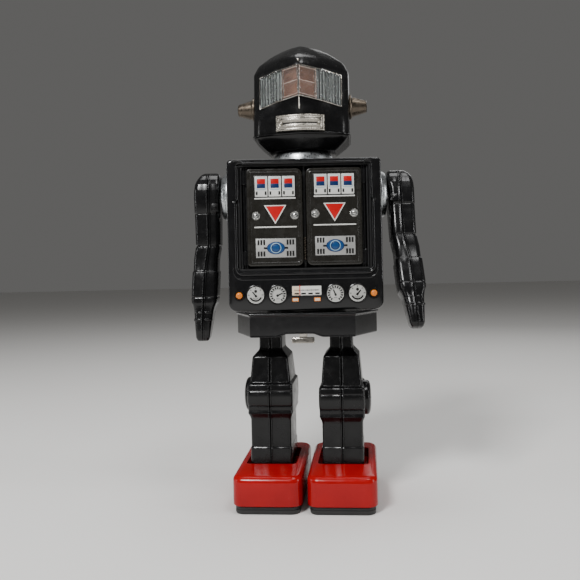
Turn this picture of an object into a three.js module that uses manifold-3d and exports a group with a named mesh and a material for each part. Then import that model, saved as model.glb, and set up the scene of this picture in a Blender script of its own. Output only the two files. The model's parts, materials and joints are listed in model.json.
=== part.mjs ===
// Battery-driven walking toy robot in printed tin and moulded plastic. The upper body turns on the
// hips, two chest doors open on a pair of recoiling guns, and the legs shuffle fore and aft.
// Millimetres, +Z up. The robot faces -Y, so its own left hand is on the +X side.

import * as THREE from 'three';
import { mergeVertices } from 'three/addons/utils/BufferGeometryUtils.js';
import Module from 'manifold-3d';

const wasm = await Module();
wasm.setup();

// ---------------------------------------------------------------- driving dimensions

const GAP = 0.3; // running gap between neighbouring pieces
const TIN = 1.2; // wall of the tin and plastic shells
const WELD = 1e-4; // vertices closer than this are one
const BORE_GAP = 0.3; // radial gap of a pin in its bore

const STANCE_Y = 2.9886; // the waist axis lies behind the middle of the footprint
const LOWER_TURN = -5; // degrees the hips and legs are turned against the chest

const FOOT = { width: 42.6, toe: -43, heel: 37, base: 5, top: 25.4, wall: 1.8, corner: 7 };
const ANKLE = { half: 15.8, depthHalf: 19.7, corner: 2.6 }; // opening in the top of the foot
const SOLE = { inset: 1.2, top: 4.7 };
const LEG_X = 22.8;
const KNEE = { z: 64.5, boss: 11.2, reach: 18.6 };
const SEAM = 0.15; // each limb half stops this far from the seam plane
const ROLLER = { radius: 7, width: 10, height: 7.4, front: -25, rear: 21, axle: 1.2, axleLength: 19 };
const ROLLER_SLOT = { half: 6, reach: 8.5, bracket: 8, bracketHalf: 1, bracketReach: 4 };

const HIP = { bottom: 106, top: 121, frontHalf: 32.5, sideHalf: 46, depthHalf: 32, wall: 1.2 };
const LEG_STROKE = 5;
const HANGER = {
  stemX: 3,
  stemY: 8,
  low: 88,
  flange: 6,
  flangeLow: 107.5,
  flangeTop: 109.1,
  forkIn: 3.8,
  forkOut: 5.4,
};
const CRANK = {
  height: 113,
  shaftRadius: 1.5,
  throw: 4,
  pinRadius: 1,
  webX: 13.6,
  webTop: 15,
  pinTop: LEG_X - HANGER.forkOut - GAP,
};
const SWITCH = { half: 7, tabFront: -29.5, tabBack: -25.5, tabLow: 102, tabTop: 105.5, plateTop: 108.7 };
const HUB = { outer: 9, inner: 3.4, top: 132.2, bossRadius: 26, bossTop: 124.3 };

const TORSO = { half: 47.7, front: -31, back: 31, bottom: 125, top: 216, topRound: 3, bottomRound: 5 };
const BAY = { half: 41.5, bottom: 147, top: 213, back: -9.8 };
const BEAD = { half: 44, low: 143, high: 188, width: 1.8, proud: 1 };
const DOOR = { near: 1.2, far: 35.4, low: 150, high: 210, front: -30.2, thick: 1.2 };
const HINGE = { x: 37.2, y: -27.2, barrel: 1.9, pin: 0.8, barrelLength: 9 };
const GUN = { x: 18.5, z: 180, spacing: 16, barrel: 2.4, muzzle: 3.2, tip: -25.5, plate: -16.5 };
const BATTERY = {
  radius: 13.1,
  length: 49.6,
  x: 14,
  y: 12.2,
  low: 154.6,
  half: 29,
  boxLow: 150,
  boxTop: 208,
};
const HATCH = { half: 32, low: 148, top: 210, front: 31.3, back: 32.5, pinY: 33.4, pinZ: 146.6 };

const GEAR = { module: 1.4, sun: 20, planet: 8, wheel: 16, pinion: 8, low: 127.4, high: 131.4 };
const WHEEL_LEVEL = { low: 132.6, high: 134.6 };
const MOTOR = { radius: 10, low: 136, top: 146.4 };

const HEAD = { half: 30.9, wall: 1.4 };
const NECK = { low: 216.3, top: 223, radius: 20.4, inner: 12 };
const VISOR = { centreLow: 255.2, centreHigh: 273.6, sideLow: 250.4, sideHigh: 270.4, half: 25.8 };
const EAR = { z: 253.4, base: 8, tip: 3.6, length: 11.6 };
const HEAD_TURN = -4; // degrees the head is turned against the chest

const MOUTH = { half: 15.3, low: 233.9, high: 244, slotHalf: 10.8, slotLow: 238.5, slotHigh: 239.4 };
const PANEL = { half: 10.5, low: 252, high: 272.6 };

const SHOULDER = { z: 195.8, disc: 16, discOut: 53.3, armIn: 53.7, armHalf: 8.2, axle: 3 };
const ARM_SWING = { left: 18, right: 0 }; // degrees forward from hanging straight down

// ---------------------------------------------------------------- materials

function finish(color, roughness, metalness, opacity = 1) {
  return { color, roughness, metalness, opacity, transparent: opacity < 1 };
}

const BLACK_TIN = finish(0x141414, 0.18, 0.2);
const BLACK_PLASTIC = finish(0x101011, 0.22, 0);
const RED_PLASTIC = finish(0xb31217, 0.2, 0);
const SOLE_BLACK = finish(0x0d0d0d, 0.6, 0);
const SILVER_PAINT = finish(0x9aa0a0, 0.35, 0.6);
const BRONZE_PAINT = finish(0x8d8577, 0.35, 0.7);
const NICKEL = finish(0xc9c6bf, 0.18, 1);
const STEEL = finish(0x8b8d90, 0.35, 1);
const BRASS = finish(0xb59345, 0.35, 1);
const NYLON = finish(0xd9d4c4, 0.5, 0);
const CLEAR = finish(0xd5dde0, 0.08, 0, 0.35);
const AMBER = finish(0xb88a70, 0.3, 0);
const LAMP_RED = finish(0xc7281b, 0.15, 0, 0.6);
const CELL_JACKET = finish(0x355a86, 0.4, 0.2);
const GREY_PLASTIC = finish(0x4b4d4f, 0.45, 0);
const DOOR_PRINT = finish(0x2a2823, 0.25, 0.2);

// ---------------------------------------------------------------- solids and booleans

function toSolid(geometry) {
  const bare = geometry.clone();
  bare.deleteAttribute('normal');
  bare.deleteAttribute('uv');
  const merged = mergeVertices(bare, WELD);
  return new wasm.Manifold(new wasm.Mesh({
    numProp: 3,
    vertProperties: new Float32Array(merged.attributes.position.array),
    triVerts: Uint32Array.from(merged.index.array),
  }));
}

function toGeometry(solid) {
  const mesh = solid.getMesh();
  const geometry = new THREE.BufferGeometry();
  geometry.setAttribute('position', new THREE.BufferAttribute(new Float32Array(mesh.vertProperties), 3));
  geometry.setIndex(new THREE.BufferAttribute(new Uint32Array(mesh.triVerts), 1));
  geometry.computeVertexNormals();
  return geometry;
}

function join(first, ...others) {
  return toGeometry(others.reduce((sum, part) => sum.add(toSolid(part)), toSolid(first)));
}

function cut(base, ...tools) {
  return toGeometry(tools.reduce((rest, tool) => rest.subtract(toSolid(tool)), toSolid(base)));
}

function meet(first, second) {
  return toGeometry(toSolid(first).intersect(toSolid(second)));
}

// Box between two opposite corners.
function box(x0, x1, y0, y1, z0, z1) {
  const geometry = new THREE.BoxGeometry(x1 - x0, y1 - y0, z1 - z0);
  return geometry.translate((x0 + x1) / 2, (y0 + y1) / 2, (z0 + z1) / 2);
}

// Round bar from one value to another along an axis, centred on the two other coordinates.
function bar(axis, radius, from, to, u, v, sides = 16) {
  const geometry = new THREE.CylinderGeometry(radius, radius, to - from, sides);
  const middle = (from + to) / 2;
  if (axis === 'x') return geometry.rotateZ(Math.PI / 2).translate(middle, u, v);
  if (axis === 'y') return geometry.translate(u, middle, v);
  return geometry.rotateX(Math.PI / 2).translate(u, v, middle);
}

// Turned piece about Z from [radius, height] points; both ends lie on the axis or the outline closes.
function turned(points, sides = 24) {
  const profile = points.map(([radius, height]) => new THREE.Vector2(radius, height));
  return new THREE.LatheGeometry(profile, sides).rotateX(Math.PI / 2);
}

function polygon(points) {
  return new THREE.Shape(points.map(([x, y]) => new THREE.Vector2(x, y)));
}

function roundedRectangle(x0, x1, y0, y1, low, high = low) {
  const shape = new THREE.Shape();
  shape.absarc(x1 - low, y0 + low, low, -Math.PI / 2, 0);
  shape.absarc(x1 - high, y1 - high, high, 0, Math.PI / 2);
  shape.absarc(x0 + high, y1 - high, high, Math.PI / 2, Math.PI);
  shape.absarc(x0 + low, y0 + low, low, Math.PI, 1.5 * Math.PI);
  return shape;
}

// Plate of a plan outline (x, y) between two heights.
function plate(shape, low, high, curveSegments = 5) {
  const options = { depth: high - low, bevelEnabled: false, curveSegments };
  return new THREE.ExtrudeGeometry(shape, options).translate(0, 0, low);
}

// Plate of a front outline (x, z) between two depths.
function frontPlate(shape, near, far, curveSegments = 5) {
  const options = { depth: far - near, bevelEnabled: false, curveSegments };
  return new THREE.ExtrudeGeometry(shape, options).rotateX(Math.PI / 2).translate(0, far, 0);
}

// Plate of a side outline (y, z) between two widths, with its long edges eased by a bevel.
function sidePlate(shape, left, right, ease = 0) {
  const options = {
    depth: right - left - 2 * ease,
    bevelEnabled: ease > 0,
    bevelThickness: ease,
    bevelSize: ease,
    bevelOffset: -ease,
    bevelSegments: 2,
    curveSegments: 3,
  };
  const geometry = new THREE.ExtrudeGeometry(shape, options);
  return geometry.rotateX(Math.PI / 2).rotateZ(Math.PI / 2).translate(left + ease, 0, 0);
}

// Closed skin over level outlines that all have the same number of points, listed from below.
function loft(levels) {
  const count = levels[0].outline.length;
  const top = (levels.length - 1) * count;
  const positions = levels.flatMap(({ z, outline }) => outline.flatMap(([x, y]) => [x, y, z]));
  const faces = [];
  for (let start = 0; start < top; start += count) {
    for (let i = 0; i < count; i++) {
      const a = start + i;
      const b = start + (i + 1) % count;
      faces.push(a, b, b + count, a, b + count, a + count);
    }
  }
  for (let i = 1; i + 1 < count; i++) {
    faces.push(0, i + 1, i, top, top + i, top + i + 1);
  }
  const geometry = new THREE.BufferGeometry();
  geometry.setAttribute('position', new THREE.Float32BufferAttribute(positions, 3));
  geometry.setIndex(faces);
  return geometry;
}

// Rounded-rectangle outline about (0, middle), for limbs.
function limbOutline(half, depthHalf, middle, corner, divisions) {
  const radius = Math.min(corner, half * 0.9, depthHalf * 0.9);
  const shape = roundedRectangle(-half, half, middle - depthHalf, middle + depthHalf, radius);
  return shape.getPoints(divisions).map(({ x, y }) => [x, y]);
}

// Hollow limb from rows of [height, half width, half depth, middle, outside only]; the ends may be open.
function limb(rows, corner, openLow, openHigh) {
  const skin = (used, inset, divisions) => loft(used.map(([z, half, depthHalf, middle], index) => {
    let level = z;
    if (index === 0) level += openLow ? -inset : inset;
    if (index === used.length - 1) level += openHigh ? inset : -inset;
    const depth = Math.max(depthHalf - inset, 0.8);
    return { z: level, outline: limbOutline(half - inset, depth, middle, corner, divisions) };
  }));
  const plainRows = rows.filter(([, , , , outsideOnly]) => !outsideOnly);
  return cut(skin(rows, 0, 2), skin(plainRows, TIN, 1));
}

// The half of a limb on one side of its seam plane.
function limbHalf(whole, sign) {
  const reach = 200;
  const half = sign > 0 ? box(SEAM, reach, -reach, reach, -reach, reach)
    : box(-reach, -SEAM, -reach, reach, -reach, reach);
  return meet(whole, half);
}

// Spur gear outline: straight-flanked teeth with backlash, first tooth at the phase angle.
function gearShape(teeth, phase = 0) {
  const pitch = (teeth * GEAR.module) / 2;
  const root = pitch - 1.15 * GEAR.module;
  const tip = pitch + 0.8 * GEAR.module;
  const step = (2 * Math.PI) / teeth;
  const points = [];
  for (let tooth = 0; tooth < teeth; tooth++) {
    const middle = phase + tooth * step;
    for (const [radius, share] of [[root, -0.3], [tip, -0.11], [tip, 0.11], [root, 0.3]]) {
      points.push([radius * Math.cos(middle + share * step), radius * Math.sin(middle + share * step)]);
    }
  }
  return polygon(points);
}

function addMesh(group, name, geometry, material) {
  const mesh = new THREE.Mesh(geometry, new THREE.MeshStandardMaterial(material));
  mesh.name = name;
  group.add(mesh);
  return mesh;
}

function placedGroup(parent, x, y, z) {
  const group = new THREE.Group();
  group.position.set(x, y, z);
  parent.add(group);
  return group;
}

const SIDES = [['left', 1], ['right', -1]];

// ---------------------------------------------------------------- feet and legs

// Foot block: side outline with a crisp toe and a top that is nearly level, in a round-cornered plan.
function footBlock(inset, low, ease) {
  const half = FOOT.width / 2 - inset;
  const toe = FOOT.toe + inset;
  const heel = FOOT.heel - inset;
  const top = FOOT.top - inset;
  const side = new THREE.Shape();
  side.moveTo(toe, low);
  side.lineTo(heel, low);
  side.lineTo(heel, top - 4);
  side.quadraticCurveTo(heel, top, heel - 4, top);
  side.lineTo(-ANKLE.depthHalf, top - 0.8);
  side.lineTo(toe + 3.4, top - 3.6);
  side.quadraticCurveTo(toe, top - 4, toe, top - 8);
  const plan = roundedRectangle(-half, half, toe, heel, FOOT.corner - inset);
  return meet(sidePlate(side, -half, half, ease), plate(plan, low - 4, 40, 3));
}

function footShell() {
  const outer = meet(footBlock(0, -4, 2.4), box(-30, 30, -60, 60, FOOT.base, 50));
  const { half, depthHalf, corner } = ANKLE;
  const ankle = plate(roundedRectangle(-half, half, -depthHalf, depthHalf, corner), 14, 50, 2);
  return cut(outer, footBlock(FOOT.wall, -6, 0), ankle);
}

function solePlate() {
  const half = FOOT.width / 2 - SOLE.inset;
  const plan = roundedRectangle(-half, half, FOOT.toe + SOLE.inset, FOOT.heel - SOLE.inset, 8);
  const pieces = [plate(plan, 0, SOLE.top, 4)];
  const slots = [];
  for (const y of [ROLLER.front, ROLLER.rear]) {
    const { half: slot, reach, bracket, bracketHalf, bracketReach } = ROLLER_SLOT;
    slots.push(box(-slot, slot, y - reach, y + reach, -1, 20));
    for (const x of [-bracket, bracket]) {
      const bore = ROLLER.axle + 0.4;
      pieces.push(box(x - bracketHalf, x + bracketHalf, y - bracketReach, y + bracketReach,
        SOLE.top - 1, ROLLER.height + 3));
      slots.push(box(x - 2, x + 2, y - bore, y + bore, ROLLER.height - bore, 20));
    }
  }
  return cut(join(...pieces), ...slots);
}

function roller(y) {
  const wheel = bar('x', ROLLER.radius, -ROLLER.width / 2, ROLLER.width / 2, y, ROLLER.height, 16);
  const half = ROLLER.axleLength / 2;
  return join(wheel, bar('x', ROLLER.axle, -half, half, y, ROLLER.height, 8));
}

// Rows run up the leg: ankle, shin, ridged knee barrel, thigh, shoulder of the thigh, neck under the hip.
const LEG_ROWS = [
  [23, 13.3, 19, 0],
  [34.6, 13.3, 19, 0, true],
  [35.4, 13.1, 18.5, 0, true],
  [53.6, 13.1, 18.2, 0],
  [54.6, 14.4, 20.4, 0, true],
  [58, 14.5, 20.6, 0, true],
  [59.4, 14.4, 19.8, 0],
  [61.5, 14.5, 21.4, 0, true],
  [68.5, 14.6, 21.6, 0],
  [73.6, 14.4, 20.2, 0, true],
  [74.6, 13.2, 18.4, 0],
  [92, 11.5, 16.6, 0],
  [96.8, 7.5, 12.4, 0],
  [105.7, 7.3, 12, 0],
];
const LEG_CORNER = 2.2;

function kneeBoss(sign) {
  const { z, boss, reach } = KNEE;
  const profile = [[0, 0], [boss, 0], [boss, reach - 4.2], [boss - 2, reach - 1.4], [boss - 5, reach],
    [0, reach]];
  return turned(profile, 16).rotateY((sign * Math.PI) / 2).translate(0, 0, z);
}

function legHalves(sign) {
  const whole = limb(LEG_ROWS, LEG_CORNER, true, true);
  const hollow = 13.4;
  const bossSkin = cut(kneeBoss(sign), box(-hollow, hollow, -30, 30, 40, 100));
  const outer = limbHalf(whole, sign);
  return { outer: join(outer, bossSkin), inner: limbHalf(whole, -sign) };
}

// Hanger: a stem inside the leg neck, a flange that rides on the hip floor, and a fork for the crank pin.
function legHanger(sign) {
  const { stemX, stemY, low, flangeLow, flangeTop, forkIn, forkOut } = HANGER;
  const stem = box(-stemX, stemX, -stemY, stemY, low, flangeTop);
  const inward = (from, to, y0, y1, z0, z1) => (sign > 0
    ? box(-to, -from, y0, y1, z0, z1) : box(from, to, y0, y1, z0, z1));
  const flange = inward(-HANGER.flange, forkOut, -11, 11, flangeLow, flangeTop);
  const prongs = [-1, 1].map((end) => {
    const y0 = Math.min(end * 1.4, end * 3.4);
    return inward(forkIn, forkOut, y0, y0 + 2, flangeLow, HIP.top - 2.6);
  });
  return join(stem, flange, ...prongs);
}

function buildLeg(parent, side, sign) {
  const leg = placedGroup(parent, sign * LEG_X, 0, 0);
  const halves = legHalves(sign);
  addMesh(leg, `foot_shell_${side}`, footShell(), RED_PLASTIC);
  addMesh(leg, `sole_${side}`, solePlate(), SOLE_BLACK);
  addMesh(leg, `roller_front_${side}`, roller(ROLLER.front), NYLON);
  addMesh(leg, `roller_rear_${side}`, roller(ROLLER.rear), NYLON);
  addMesh(leg, `leg_outer_${side}`, halves.outer, BLACK_PLASTIC);
  addMesh(leg, `leg_inner_${side}`, halves.inner, BLACK_PLASTIC);
  addMesh(leg, `leg_hanger_${side}`, legHanger(sign), STEEL);
}

// ---------------------------------------------------------------- hips and walking crank

function hexagon(inset) {
  const front = HIP.frontHalf - inset * 0.6;
  const side = HIP.sideHalf - inset * 1.1;
  const depth = HIP.depthHalf - inset;
  return polygon([
    [-front, -depth], [front, -depth], [side, 0], [front, depth], [-front, depth], [-side, 0],
  ]);
}

function hipShell() {
  const { bottom, top, wall } = HIP;
  const skin = join(plate(hexagon(0), bottom, top - 0.4), plate(hexagon(-1), top - 1.8, top));
  const hollow = plate(hexagon(wall), bottom + wall, top + 1);
  const notch = polygon([[-14, 105], [14, 105], [8.5, 108], [-8.5, 108]]);
  const slots = SIDES.map(([, sign]) => {
    const x = sign * LEG_X;
    const reach = HANGER.stemY + LEG_STROKE + GAP;
    return box(x - 3.4, x + 3.4, -reach, reach, bottom - 1, bottom + wall + 1);
  });
  const switchSlot = box(-2.8, 8.8, -27.4, -23.6, bottom - 1, bottom + wall + 1);
  const floor = cut(skin, hollow, frontPlate(notch, -34, -30), switchSlot, ...slots);
  const bearings = SIDES.map(([, sign]) => {
    const x = sign * 11;
    const lug = box(x - 1, x + 1, -4, 4, bottom + wall - 0.2, CRANK.height + 2);
    return cut(lug, box(x - 2, x + 2, -1.8, 1.8, CRANK.height - 1.8, CRANK.height + 9));
  });
  return join(floor, ...bearings);
}

function hipLid() {
  const lid = plate(hexagon(1.7), 119.4, 120.6);
  const boss = bar('z', HUB.bossRadius, 120, HUB.bossTop, 0, 0, 32);
  const tube = bar('z', HUB.outer, 120, HUB.top, 0, 0, 20);
  return cut(join(lid, boss, tube), bar('z', HUB.inner, 110, 140, 0, 0, 16));
}

function powerSwitch() {
  const { half, tabFront, tabBack, tabLow, tabTop, plateTop } = SWITCH;
  const slider = box(-half, half, tabFront + 0.5, -22, plateTop - 1.2, plateTop);
  const stem = box(-2.4, 2.4, -27.1, -23.9, tabLow + 1, plateTop - 0.6);
  const tab = box(-half, half, tabFront, tabBack, tabLow, tabTop);
  return join(slider, stem, tab);
}

function crankshaft() {
  const { height, shaftRadius, pinRadius, webX, webTop, pinTop } = CRANK;
  const pieces = [bar('x', shaftRadius, -webX - 0.4, webX + 0.4, 0, height, 12)];
  for (const [, sign] of SIDES) {
    const y = sign * CRANK.throw;
    const y0 = Math.min(0, y) - shaftRadius * 0.7;
    const y1 = Math.max(0, y) + shaftRadius * 0.7;
    const x0 = sign > 0 ? webX : -webTop;
    pieces.push(box(x0, x0 + webTop - webX, y0, y1, height - 1.2, height + 1.2));
    const pin = sign > 0 ? [webTop - 0.4, pinTop] : [-pinTop, -webTop + 0.4];
    pieces.push(bar('x', pinRadius, pin[0], pin[1], y, height, 10));
  }
  return join(...pieces);
}

const CROWN = { teeth: 8, face: 6.8, tooth: 1 };
const SHAFT_PINION = { teeth: 11, root: 5, tip: 6.5, low: 116.6, high: 118.2 };

function crownGear() {
  const disc = cut(
    bar('x', 5.3, CROWN.face, CROWN.face + 1.4, 0, CRANK.height, 16),
    bar('x', CRANK.shaftRadius + BORE_GAP, 0, 20, 0, CRANK.height, 12),
  );
  const teeth = [];
  for (let i = 0; i < CROWN.teeth; i++) {
    const tooth = box(5.5, CROWN.face + 0.3, -CROWN.tooth / 2, CROWN.tooth / 2, 3.7, 5.1);
    teeth.push(tooth.rotateX((i * 2 * Math.PI) / CROWN.teeth).translate(0, 0, CRANK.height));
  }
  return join(disc, ...teeth);
}

function driveShaft() {
  const { teeth, root, tip, low, high } = SHAFT_PINION;
  const outline = [];
  const step = (2 * Math.PI) / teeth;
  const reach = CROWN.tooth / 2;
  for (let i = 0; i < teeth; i++) {
    const middle = (i + 0.5) * step;
    for (const [radius, aside] of [[root, -reach], [tip, -reach], [tip, reach], [root, reach]]) {
      const angle = middle + aside / radius;
      outline.push([radius * Math.cos(angle), radius * Math.sin(angle)]);
    }
  }
  return join(
    plate(polygon(outline), low, high),
    bar('z', 1.5, 115.9, 141, 0, 0, 10),
    bar('z', 4, 137.5, 139, 0, 0, 14),
  );
}

function buildHips(parent) {
  addMesh(parent, 'hip_shell', hipShell(), BLACK_TIN);
  addMesh(parent, 'hip_lid', hipLid(), BLACK_TIN);
  addMesh(parent, 'power_switch', powerSwitch(), NICKEL);
  addMesh(parent, 'crankshaft', crankshaft(), STEEL);
  addMesh(parent, 'crown_gear', crownGear(), BRASS);
  addMesh(parent, 'drive_shaft', driveShaft(), STEEL);
}

// The fixed sun gear on the hip hub; its first tooth points at the planet gear of the chest.
function sunGear() {
  const gear = plate(gearShape(GEAR.sun), GEAR.low, GEAR.high);
  return cut(gear, bar('z', HUB.outer + BORE_GAP, 100, 150, 0, 0, 20));
}

// ---------------------------------------------------------------- chest

function torsoShell() {
  const { half, front, back, bottom, top, topRound, bottomRound } = TORSO;
  const outer = roundedRectangle(-half, half, bottom, top, bottomRound, topRound);
  const innerHalf = half - TIN;
  const innerBottom = bottom - bottomRound;
  const inner = roundedRectangle(-innerHalf, innerHalf, innerBottom, top - TIN, bottomRound, topRound);
  const skin = frontPlate(outer, front, back, 4);
  const hollow = frontPlate(inner, front + TIN, back - TIN, 4);
  const bay = box(-BAY.half, BAY.half, front - 1, front + 3, BAY.bottom, BAY.top);
  const rearHalf = BATTERY.half - 0.6;
  const rear = box(-rearHalf, rearHalf, back - 3, back + 1, BATTERY.boxLow + 0.6, BATTERY.boxTop - 0.6);
  const axles = bar('x', SHOULDER.axle + BORE_GAP, -half - 1, half + 1, 0, SHOULDER.z, 16);
  return join(cut(skin, hollow, bay, rear, axles), frontBead(), ...hatchLugs());
}

// Raised U-shaped bead that frames the lower part of the chest bay.
function frontBead() {
  const { half, low, high, width, proud } = BEAD;
  const outer = roundedRectangle(-half, half, low, high + 20, 4);
  const inner = roundedRectangle(-half + width, half - width, low + width, high + 20, 3);
  const strip = frontPlate(outer, TORSO.front - proud, TORSO.front + 0.4, 3);
  const ring = cut(strip, frontPlate(inner, -40, -20, 3));
  return meet(ring, box(-60, 60, -40, -20, 100, high));
}

// Two lugs under the battery door that carry its hinge pin.
function hatchLugs() {
  return SIDES.map(([, sign]) => {
    const x0 = sign > 0 ? 25 : -28;
    const lug = box(x0, x0 + 3, TORSO.back - 0.4, 35, 144.8, 148.4);
    return cut(lug, bar('x', HINGE.pin + BORE_GAP, x0 - 1, x0 + 4, HATCH.pinY, HATCH.pinZ, 10));
  });
}

function torsoBase() {
  const edge = 1.6;
  const half = TORSO.half - 7;
  const low = TORSO.bottom + 0.1;
  const plan = roundedRectangle(-half, half, TORSO.front + edge, TORSO.back - edge, 2);
  return cut(plate(plan, low, low + TIN, 3), bar('z', HUB.outer + GAP + 0.1, 120, 130, 0, 0, 20));
}

// Open tray behind the doors; its back wall has two windows for the gun slides.
function chestTray() {
  const half = BAY.half - GAP;
  const low = BAY.bottom + GAP;
  const high = BAY.top - GAP;
  const block = box(-half, half, -29.5, BAY.back, low, high);
  const hollow = box(-half + TIN, half - TIN, -40, BAY.back - TIN, low + TIN, high - TIN);
  const windows = SIDES.map(([, sign]) => {
    const x = sign * GUN.x;
    return box(x - 4.4, x + 4.4, BAY.back - 3, BAY.back + 1, GUN.z - 4.4, GUN.z + 4.4);
  });
  const pinHoles = SIDES.map(([, sign]) => (
    bar('z', HINGE.pin + BORE_GAP, low - 1, high + 1, sign * HINGE.x, HINGE.y, 10)));
  const divider = box(-0.6, 0.6, -26.5, BAY.back - 0.5, low + 0.5, high - 0.5);
  return cut(join(cut(block, hollow), divider), ...windows, ...pinHoles);
}

function chestDoor(sign) {
  const span = (x0, x1) => (sign > 0 ? [x0, x1] : [-x1, -x0]);
  const [x0, x1] = span(DOOR.near, DOOR.far);
  const back = DOOR.front + DOOR.thick;
  const panel = frontPlate(roundedRectangle(x0, x1, DOOR.low, DOOR.high, 2), DOOR.front, back, 3);
  const [w0, w1] = span(33.6, 36.6);
  const pieces = [panel];
  const bores = [];
  for (const z of [DOOR.low + 0.5, DOOR.high - 0.5 - HINGE.barrelLength]) {
    const top = z + HINGE.barrelLength;
    pieces.push(box(w0, w1, back - 0.5, HINGE.y + 0.8, z, top));
    pieces.push(bar('z', HINGE.barrel, z, top, sign * HINGE.x, HINGE.y, 14));
    bores.push(bar('z', HINGE.pin + BORE_GAP, z - 1, top + 1, sign * HINGE.x, HINGE.y, 10));
  }
  const [r0, r1] = span(33.8, 35);
  pieces.push(box(r0, r1, back - 0.5, back + 1.6, DOOR.low + 2, DOOR.high - 2));
  return cut(join(...pieces), ...bores);
}

function gun(sign) {
  const x = sign * GUN.x;
  const pieces = [
    box(x - 6.5, x + 6.5, GUN.plate, GUN.plate + 1.5, GUN.z - 13, GUN.z + 13),
    box(x - 4, x + 4, GUN.plate + 1, -9, GUN.z - 4, GUN.z + 4),
  ];
  const bores = [];
  for (const end of [-1, 1]) {
    const z = GUN.z + (end * GUN.spacing) / 2;
    pieces.push(bar('y', GUN.barrel, GUN.tip + 1.5, GUN.plate + 0.5, x, z, 12));
    pieces.push(bar('y', GUN.muzzle, GUN.tip, GUN.tip + 3, x, z, 14));
    bores.push(bar('y', 1.5, GUN.tip - 1, GUN.tip + 3.5, x, z, 10));
  }
  return cut(join(...pieces), ...bores);
}

function gunLamp(sign) {
  const base = GUN.plate - GAP;
  const dome = turned([[0, 0], [2.4, 0], [2.4, 2.6], [1.7, 4.4], [0, 5.2]], 14);
  return dome.rotateX(Math.PI / 2).translate(sign * GUN.x, base, GUN.z);
}

function batteryBox() {
  const { half, boxLow, boxTop } = BATTERY;
  const block = box(-half, half, -5, 29.5, boxLow, boxTop);
  return cut(block, box(-half + TIN, half - TIN, -5 + TIN, 40, boxLow + TIN, boxTop - TIN));
}

function cell(sign) {
  const { radius, length } = BATTERY;
  const crown = length - 1.8; // shoulder of the jacket, below the contact nub
  const profile = [[0, 0], [radius - 1, 0], [radius, 0.8], [radius, crown - 0.8], [radius - 1.2, crown],
    [3.2, crown], [3, length], [0, length]];
  return turned(profile, 16).translate(sign * BATTERY.x, BATTERY.y, BATTERY.low);
}

// Conical return spring under a cell.
function cellSpring(sign) {
  const turns = 2.25;
  const low = BATTERY.boxLow + TIN + GAP + 0.45;
  const rise = BATTERY.low - GAP - 0.45 - low;
  const points = [];
  const count = 20;
  for (let i = 0; i <= count; i++) {
    const t = i / count;
    const angle = t * turns * 2 * Math.PI;
    const radius = 6 - 3 * t;
    points.push(new THREE.Vector3(radius * Math.cos(angle), radius * Math.sin(angle), low + rise * t));
  }
  const section = new THREE.Shape();
  section.absarc(0, 0, 0.4, 0, 2 * Math.PI);
  const options = { steps: count, curveSegments: 3, extrudePath: new THREE.CatmullRomCurve3(points) };
  return new THREE.ExtrudeGeometry(section, options).translate(sign * BATTERY.x, BATTERY.y, 0);
}

function contactBridge() {
  const high = BATTERY.boxTop - TIN - GAP;
  const strip = box(-20, 20, BATTERY.y - 4, BATTERY.y + 4, high - 0.8, high);
  const dimples = SIDES.map(([, sign]) => {
    const low = BATTERY.low + BATTERY.length + GAP;
    return turned([[0, 0], [2.2, 0], [3.4, high - 0.4 - low], [0, high - 0.4 - low]], 12)
      .translate(sign * BATTERY.x, BATTERY.y, low);
  });
  return join(strip, ...dimples);
}

function batteryDoor() {
  const { half, low, top, front, back, pinY, pinZ } = HATCH;
  const notchLow = low + 3;
  const shape = polygon([[-24.4, low], [24.4, low], [24.4, notchLow], [half, notchLow], [half, top],
    [-half, top], [-half, notchLow], [-24.4, notchLow]]);
  const panel = frontPlate(shape, front, back);
  const web = box(-24.4, 24.4, front + 0.2, pinY, pinZ + 0.8, low + 0.5);
  const barrel = bar('x', 1.8, -24.4, 24.4, pinY, pinZ, 14);
  const grip = box(-9, 9, back - 0.3, back + 1.6, top - 5, top - 3);
  return cut(join(panel, web, barrel, grip), bar('x', HINGE.pin + BORE_GAP, -30, 30, pinY, pinZ, 10));
}

const PLANET_X = (GEAR.module * (GEAR.sun + GEAR.planet)) / 2;
const MOTOR_Y = -(GEAR.module * (GEAR.wheel + GEAR.pinion)) / 2;

// Planet gear that rolls round the fixed sun gear, in one piece with the wheel that the motor drives.
function turningGear() {
  const halfPitch = Math.PI / GEAR.planet;
  const planet = plate(gearShape(GEAR.planet, Math.PI + halfPitch), GEAR.low, WHEEL_LEVEL.low + 0.2);
  const wheel = plate(gearShape(GEAR.wheel), WHEEL_LEVEL.low, WHEEL_LEVEL.high);
  return join(planet, wheel, bar('z', 1.5, GEAR.low - 0.6, 138, 0, 0, 10)).translate(PLANET_X, 0, 0);
}

function motorPinion() {
  const phase = Math.PI / 2 + Math.PI / GEAR.pinion;
  const gear = plate(gearShape(GEAR.pinion, phase), WHEEL_LEVEL.low - 0.2, WHEEL_LEVEL.high + 0.2);
  const spindle = bar('z', 1, WHEEL_LEVEL.low - 0.8, MOTOR.low - GAP, 0, 0, 8);
  return join(gear, spindle).translate(PLANET_X, MOTOR_Y, 0);
}

function motorCan() {
  const { radius, low, top } = MOTOR;
  const edge = 0.8;
  const profile = [[0, low], [radius - edge, low], [radius, low + edge], [radius, top - edge],
    [radius - edge, top], [0, top]];
  return turned(profile, 16).translate(PLANET_X, MOTOR_Y, 0);
}

function neckRing() {
  const { low, top, radius, inner } = NECK;
  const profile = [[inner, low], [radius - 0.4, low], [radius, low + 1.1], [radius - 1, top - 1.6],
    [radius - 2.8, top], [inner, top], [inner, low]];
  return turned(profile, 24);
}

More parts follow.
